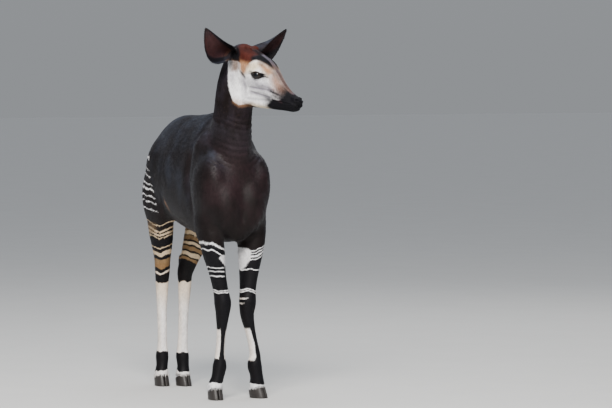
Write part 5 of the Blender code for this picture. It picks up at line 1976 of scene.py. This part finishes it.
# Of each piece's tufts: spacing, the length's setting and share of it, width and lift
COAT_PIECES = {
    "coat_ears": (0.0040, "face_hair", 1.20, 0.0011, 0.0004),
    "coat_face": (0.0032, "face_hair", 1.00, 0.0010, 0.0004),
    "coat_neck": (0.0044, "body_hair", 0.68, 0.0017, 0.0007),
    "coat_trunk_right": (0.0055, "body_hair", 1.00, 0.0023, 0.0010),
    "coat_trunk_left": (0.0055, "body_hair", 1.00, 0.0023, 0.0010),
    "coat_leg_fore_right": (0.0031, "leg_hair", 0.85, 0.0013, 0.0005),
    "coat_leg_fore_left": (0.0031, "leg_hair", 0.85, 0.0013, 0.0005),
    "coat_leg_hind_right": (0.0032, "leg_hair", 0.90, 0.0014, 0.0005),
    "coat_leg_hind_left": (0.0032, "leg_hair", 0.90, 0.0014, 0.0005),
    "coat_tail": (0.0034, "body_hair", 0.75, 0.0014, 0.0008),
}


def hair_share(places):
    """Share of the full hair length: least on the muzzle, round the eyes and on the feet."""
    along = head_measures(places)[0]
    share = 1.0 - 0.55 * ramp(0.10, 0.26, along) * ramp(1.25, 1.30, places[:, 2])
    share *= 1.0 - 0.40 * ramp(0.16, 0.06, places[:, 2]) + 1.10 * ramp(0.072, 0.058, places[:, 2])
    for which in (-1, 1):
        far, *_, outside = lid_angles(places, which)
        share *= 1.0 - 0.6 * (far < 0.05) * ramp(0.8, 0.2, outside)
    return share


class OKAPI_OT_coat(bpy.types.Operator):
    """Sow the short coat over the whole skin"""

    bl_idname = "okapi.coat"
    bl_label = "Grow coat"

    def execute(self, context):
        coat = context.scene.okapi_coat
        roots = Roots(bpy.data.objects["skin"])
        bare = np.zeros(len(roots.middle), bool)
        for side in (-1, 1):
            far, *_, outside = lid_angles(roots.middle, side)
            bare |= (far < 0.035) & (outside < 0.10)
        share = hair_share(roots.middle)
        for index, (name, chosen) in enumerate(regions(roots).items()):
            rng = np.random.default_rng(coat.seed + index)
            spacing, setting, part, width, lift = COAT_PIECES[name]
            length = getattr(coat, setting) * part
            sown = roots.sow(chosen & ~bare, spacing * (0.55 + 0.45 * share), rng)
            place, normal = sown[0], sown[1]
            lie = lay_flat(hair_direction(place), normal)
            lie = turned(lie, normal, swirl(place) + rng.normal(0.0, 0.13, len(place)))
            size = hair_share(place) * rng.uniform(0.72, 1.22, len(place))
            fringe = 0.0035 * ramp(0.072, 0.056, place[:, 2])
            tuft_piece(name, sown, lie, length * size, width * (0.6 + 0.4 * size), lift * size + fringe)
        return {"FINISHED"}


# Shares of a lock's length at its rings
LOCK_STEPS = (0.0, 0.3, 0.6, 0.85)


def lock_faces():
    """Triangles of one lock: a root cap, three-sided rings and a tip."""
    last = len(LOCK_STEPS) - 1
    faces = [(0, 1, 2)]
    for ring in range(last):
        for corner in range(3):
            a = ring * 3 + corner
            b = ring * 3 + (corner + 1) % 3
            faces += [(a, a + 3, b), (b, a + 3, b + 3)]
    tip = (last + 1) * 3
    for corner in range(3):
        faces.append((last * 3 + corner, tip, last * 3 + (corner + 1) % 3))
    return np.array(faces)


def tail_tuft(roots, rng):
    """Long locks that hang from the end of the tail, each over a root on the dock."""
    middle = roots.middle
    chosen = (middle[:, 1] > 0.485) & (middle[:, 2] < 0.965)
    place, normal, layout = roots.sow(chosen, np.full(len(middle), TUFT_SPACING), rng)
    count = len(place)
    outward = normal * (1.0, 1.0, 0.0)
    outward /= np.maximum(np.linalg.norm(outward, axis=1, keepdims=True), 1e-6)
    across = np.column_stack([-outward[:, 1], outward[:, 0], np.zeros(count)])
    length = np.minimum(TUFT_LENGTH * rng.uniform(0.65, 1.05, count), place[:, 2] - TUFT_LOWEST)[:, None]
    sway = rng.uniform(-0.010, 0.010, (count, 1))
    rings = []
    for t in LOCK_STEPS + (1.0,):
        bulge = 0.0035 * math.sin(math.pi * t) - 0.0050 * t * t
        line = place + outward * bulge + across * sway * t * t - np.outer(length * t, np.array(UP))
        wide = 0.0019 * (1.0 - 0.70 * t * t)
        if t == 1.0:
            rings.append(line)
        else:
            rings += [line - across * wide, line + across * wide, line + outward * wide * 0.9]
    points = np.stack(rings, 1)
    size = points.shape[1]
    spot = np.column_stack([np.linspace(-0.0014, 0.0014, size), 0.001 * np.sin(2.1 * np.arange(size))])
    mesh = sown_mesh("tail_tuft", points, lock_faces(), paint(place, normal), place, layout, spot)
    mesh.materials.append(coat_materials()[0])
    mesh.shade_smooth()
    piece = mesh_object("tail_tuft", mesh, bpy.context.scene.collection)
    bpy.context.view_layer.update()
    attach(piece, "root")
    return piece


class OKAPI_OT_tail(bpy.types.Operator):
    """Hang the tuft of long locks from the tail"""

    bl_idname = "okapi.tail"
    bl_label = "Hang tail tuft"

    def execute(self, context):
        rng = np.random.default_rng(context.scene.okapi_coat.seed + 50)
        tail_tuft(Roots(bpy.data.objects["skin"]), rng)
        return {"FINISHED"}


def eyeball(name, side):
    """Eye with a bulging front, turned to look outwards."""
    gaze = looking(side)
    work = bmesh.new()
    bmesh.ops.create_uvsphere(work, u_segments=56, v_segments=40, radius=EYE_RADIUS)
    turn = UP.rotation_difference(gaze).to_matrix().to_4x4()
    bmesh.ops.transform(work, matrix=turn, verts=work.verts)
    angles = []
    for corner in work.verts:
        angle = corner.co.angle(gaze)
        corner.co *= 1.0 + 0.030 * math.exp(-((angle / 0.50) ** 2))
        angles.append(angle)
    piece = from_bmesh(name, work, bpy.context.scene.collection)
    piece.data.attributes.new("gaze", "FLOAT", "POINT").data.foreach_set("value", angles)
    piece.data.shade_smooth()
    set_points(piece.data, points_of(piece.data) + np.array(eye_centre(side) + shift_to_frame()))
    bpy.context.view_layer.update()
    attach(piece, "root")
    return piece


# Tones of the eye from the middle outwards: start, as an angle in radians, and colour
EYE_TONES = (
    (0.00, (0.0016, 0.0024, 0.0050)),
    (0.42, (0.0020, 0.0026, 0.0048)),
    (0.50, (0.0120, 0.0070, 0.0050)),
    (0.78, (0.0080, 0.0048, 0.0036)),
    (0.90, (0.0035, 0.0026, 0.0026)),
)


def eye_material():
    """Wet eye: blue-black pupil, dark brown iris and a brown edge."""
    made, tree, shader = new_material("eye_wet_dark")
    grain = noise(tree, 260.0, (-700, -200), detail=3.0, source="")
    angle = math_node(tree, "MULTIPLY_ADD", grain, 0.12, (-450, 0), attribute(tree, "gaze", (-700, 0)))
    tones = node(tree, "ShaderNodeValToRGB", (-250, 0))
    fill_ramp(tones, EYE_TONES)
    tree.links.new(angle, tones.inputs["Fac"])
    tree.links.new(tones.outputs["Color"], shader.inputs["Base Color"])
    wet = {"Roughness": 0.10, "Specular IOR Level": 0.20, "Coat Weight": 0.18, "Coat Roughness": 0.03}
    set_inputs(shader, wet)
    return made


class OKAPI_OT_eyes(bpy.types.Operator):
    """Set the dark wet eyeballs behind the lids"""

    bl_idname = "okapi.eyes"
    bl_label = "Set eyes"

    def execute(self, context):
        made = eye_material()
        for name, side in (("eye_left", 1), ("eye_right", -1)):
            ball = eyeball("eyeball_" + name[4:], side)
            ball.data.materials.append(made)
            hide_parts(name)
        return {"FINISHED"}


def hoof_material():
    """Dark horn with growth rings, fine upright grain and dust."""
    colors = bpy.context.scene.okapi_colors
    made, tree, shader = new_material("hoof_horn_rings")
    rings = noise(tree, 60.0, (-600, 100), (0.25, 0.25, 4.0), 2.0, source="")
    grain = noise(tree, 500.0, (-600, 400), (1.0, 1.0, 0.06), 2.0, source="")
    dirt = noise(tree, 40.0, (-600, -200), (1.0, 1.0, 1.0), 3.0, source="")
    deep = tuple(c * 0.65 for c in colors.horn)
    light = tuple(c * 1.35 for c in colors.horn)
    color = mix_color(tree, rings, deep, light, (-200, 100))
    dust = math_node(tree, "MULTIPLY", dirt, 0.5, (-300, -200))
    color = mix_color(tree, dust, color, tuple(colors.dust), (0, 0))
    relief = math_node(tree, "MULTIPLY_ADD", grain, 0.35, (-200, -400), rings)
    bump = node(tree, "ShaderNodeBump", (0, -300), {"Distance": 0.0008, "Strength": 0.5})
    rough = math_node(tree, "MULTIPLY_ADD", dirt, 0.30, (0, -500), 0.30)
    tree.links.new(relief, bump.inputs["Height"])
    tree.links.new(color, shader.inputs["Base Color"])
    tree.links.new(rough, shader.inputs["Roughness"])
    tree.links.new(bump.outputs["Normal"], shader.inputs["Normal"])
    return made


def claw(name):
    """One claw of a hoof: the solid's form with rounded edges and rings of growth."""
    work = bmesh.new()
    work.from_mesh(frame["nodes"][name].data)
    piece = from_bmesh("claw_" + name[5:], work, bpy.context.scene.collection)
    melt(piece, HOOF_VOXEL, 7)
    places = points_of(piece.data)
    normals = normals_of(piece.data)
    x, y, z = places.T
    height = z + 0.30 * y
    wander = 0.0012 * np.sin(x * 160.0) + 0.0010 * np.sin(y * 210.0 + 40.0 * z)
    ripple = 0.00013 * np.sin((height + wander) * math.tau / FINE_RING_SPACING)
    ripple += 0.00010 * np.sin(height * math.tau / WIDE_RING_SPACING + 1.0)
    wall = ramp(0.004, 0.012, z) * ramp(0.8, 0.4, np.abs(normals[:, 2]))
    places += normals * (ripple * wall)[:, None]
    places[:, 2] = np.maximum(places[:, 2], 0.0)
    set_points(piece.data, places)
    piece.data.shade_smooth()
    bpy.context.view_layer.update()
    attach(piece, "root")
    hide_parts(name)
    return piece


class OKAPI_OT_hooves(bpy.types.Operator):
    """Round the claws and give them a ringed horn finish"""

    bl_idname = "okapi.hooves"
    bl_label = "Finish hooves"

    def execute(self, context):
        made = hoof_material()
        names = [name for name in frame["nodes"] if name.startswith("hoof")]
        if not names:
            raise RuntimeError("the packed model has no hooves to finish")
        for name in names:
            piece = claw(name)
            piece.data.materials.clear()
            piece.data.materials.append(made)
        return {"FINISHED"}


# Studio: floor size, sky colours, lights (place, size, power, tone) and the camera
FLOOR_SIZE = 60.0
HORIZON_COLOR = (0.292, 0.306, 0.323)
ZENITH_COLOR = (0.560, 0.600, 0.660)
LIGHTS = {
    "key_light": ((-3.0, -5.5, 5.5), 3.0, 1080.0, (1.0, 0.97, 0.93)),
    "sky_light": ((0.5, 1.0, 7.0), 5.0, 180.0, (0.88, 0.94, 1.0)),
    "rim_light": ((4.5, 3.5, 4.0), 2.5, 50.0, (1.0, 0.98, 0.95)),
}
LIGHTS_AIM = Vector((0.0, 0.0, 0.9))
IMAGE_WIDTH = 612.0
FOCAL_LENGTH = 3500.0
SENSOR_WIDTH = 36.0
CAMERA_PLACE = Vector((-6.343, -14.696, 1.580))
CAMERA_AZIMUTH = math.radians(25.0)
CAMERA_DIP = 156.0


def studio_floor(scene, tone):
    """Pale floor with a faint grain."""
    work = bmesh.new()
    bmesh.ops.create_grid(work, x_segments=1, y_segments=1, size=FLOOR_SIZE)
    floor = from_bmesh("studio_floor", work, scene.collection)
    made, tree, shader = new_material("floor_pale")
    grain = noise(tree, 3.0, (-300, 0), (1.0, 1.0, 1.0), 3.0, source="")
    deep = tuple(c * 0.96 for c in tone)
    light = tuple(min(c * 1.04, 1.0) for c in tone)
    color = mix_color(tree, grain, deep, light, (0, 0))
    tree.links.new(color, shader.inputs["Base Color"])
    shader.inputs["Roughness"].default_value = 0.85
    floor.data.materials.append(made)
    floor.location.z = -0.0005
    return floor


def studio_sky(scene):
    """Soft grey all round that grows lighter upwards."""
    world = bpy.data.worlds.new("studio")
    world.use_nodes = True
    tree = world.node_tree
    spot = node(tree, "ShaderNodeTexCoord", (-800, 0))
    parts = node(tree, "ShaderNodeSeparateXYZ", (-600, 0))
    tree.links.new(spot.outputs["Generated"], parts.inputs[0])
    rise = math_node(tree, "MAXIMUM", parts.outputs["Z"], 0.0, (-400, 0))
    sky = mix_color(tree, rise, HORIZON_COLOR, ZENITH_COLOR, (-200, 0))
    tree.links.new(sky, tree.nodes["Background"].inputs["Color"])
    tree.nodes["Background"].inputs["Strength"].default_value = 1.0
    scene.world = world


def studio_lights(scene):
    """Large soft lights, all turned to the middle of the animal."""
    for name, (place, size, power, tone) in LIGHTS.items():
        lamp = bpy.data.lights.new(name, "AREA")
        lamp.size = size
        lamp.energy = power
        lamp.color = tone
        thing = bpy.data.objects.new(name, lamp)
        thing.location = place
        thing.rotation_euler = (LIGHTS_AIM - Vector(place)).to_track_quat("-Z", "Y").to_euler()
        scene.collection.objects.link(thing)


def studio_camera(scene):
    """Camera at the photograph's angle, its focal length given in pixels of the image."""
    camera = bpy.data.cameras.new("camera")
    camera.sensor_width = SENSOR_WIDTH
    camera.lens = FOCAL_LENGTH * SENSOR_WIDTH / IMAGE_WIDTH
    camera.clip_end = 200.0
    view = bpy.data.objects.new("camera", camera)
    view.location = CAMERA_PLACE + shift_to_frame()
    look = Vector((math.sin(CAMERA_AZIMUTH), math.cos(CAMERA_AZIMUTH), -CAMERA_DIP / FOCAL_LENGTH))
    view.rotation_euler = look.to_track_quat("-Z", "Y").to_euler()
    scene.collection.objects.link(view)
    scene.camera = view


class OKAPI_OT_stage(bpy.types.Operator):
    """Lay the pale floor and set the soft lights and the camera"""

    bl_idname = "okapi.stage"
    bl_label = "Set the stage"

    def execute(self, context):
        scene = context.scene
        floor = studio_floor(scene, tuple(scene.okapi_colors.floor))
        studio_sky(scene)
        studio_lights(scene)
        studio_camera(scene)
        return {"FINISHED"}


class OKAPI_PT_panel(bpy.types.Panel):
    """Okapi tools in the sidebar"""

    bl_label = "Okapi"
    bl_space_type = "VIEW_3D"
    bl_region_type = "UI"
    bl_category = "Okapi"

    def draw(self, context):
        layout = self.layout
        for name in ("okapi.skin", "okapi.coat", "okapi.tail", "okapi.eyes", "okapi.hooves", "okapi.stage"):
            layout.operator(name)
        for group in (context.scene.okapi_coat, context.scene.okapi_colors):
            for key in group.__annotations__:
                layout.prop(group, key)


CLASSES = (
    OkapiCoat,
    OkapiColors,
    OKAPI_OT_skin,
    OKAPI_OT_coat,
    OKAPI_OT_tail,
    OKAPI_OT_eyes,
    OKAPI_OT_hooves,
    OKAPI_OT_stage,
    OKAPI_PT_panel,
)


def register():
    """Register the classes and their settings."""
    for kind in CLASSES:
        bpy.utils.register_class(kind)
    bpy.types.Scene.okapi_coat = bpy.props.PointerProperty(type=OkapiCoat)
    bpy.types.Scene.okapi_colors = bpy.props.PointerProperty(type=OkapiColors)


def unregister():
    """Remove the settings and the classes."""
    del bpy.types.Scene.okapi_coat
    del bpy.types.Scene.okapi_colors
    for kind in reversed(CLASSES):
        bpy.utils.unregister_class(kind)


def main():
    """Dress the whole animal."""
    register()
    bpy.ops.okapi.skin()
    bpy.ops.okapi.coat()
    bpy.ops.okapi.tail()
    bpy.ops.okapi.eyes()
    bpy.ops.okapi.hooves()
    bpy.ops.okapi.stage()


if __name__ == "__main__":
    main()
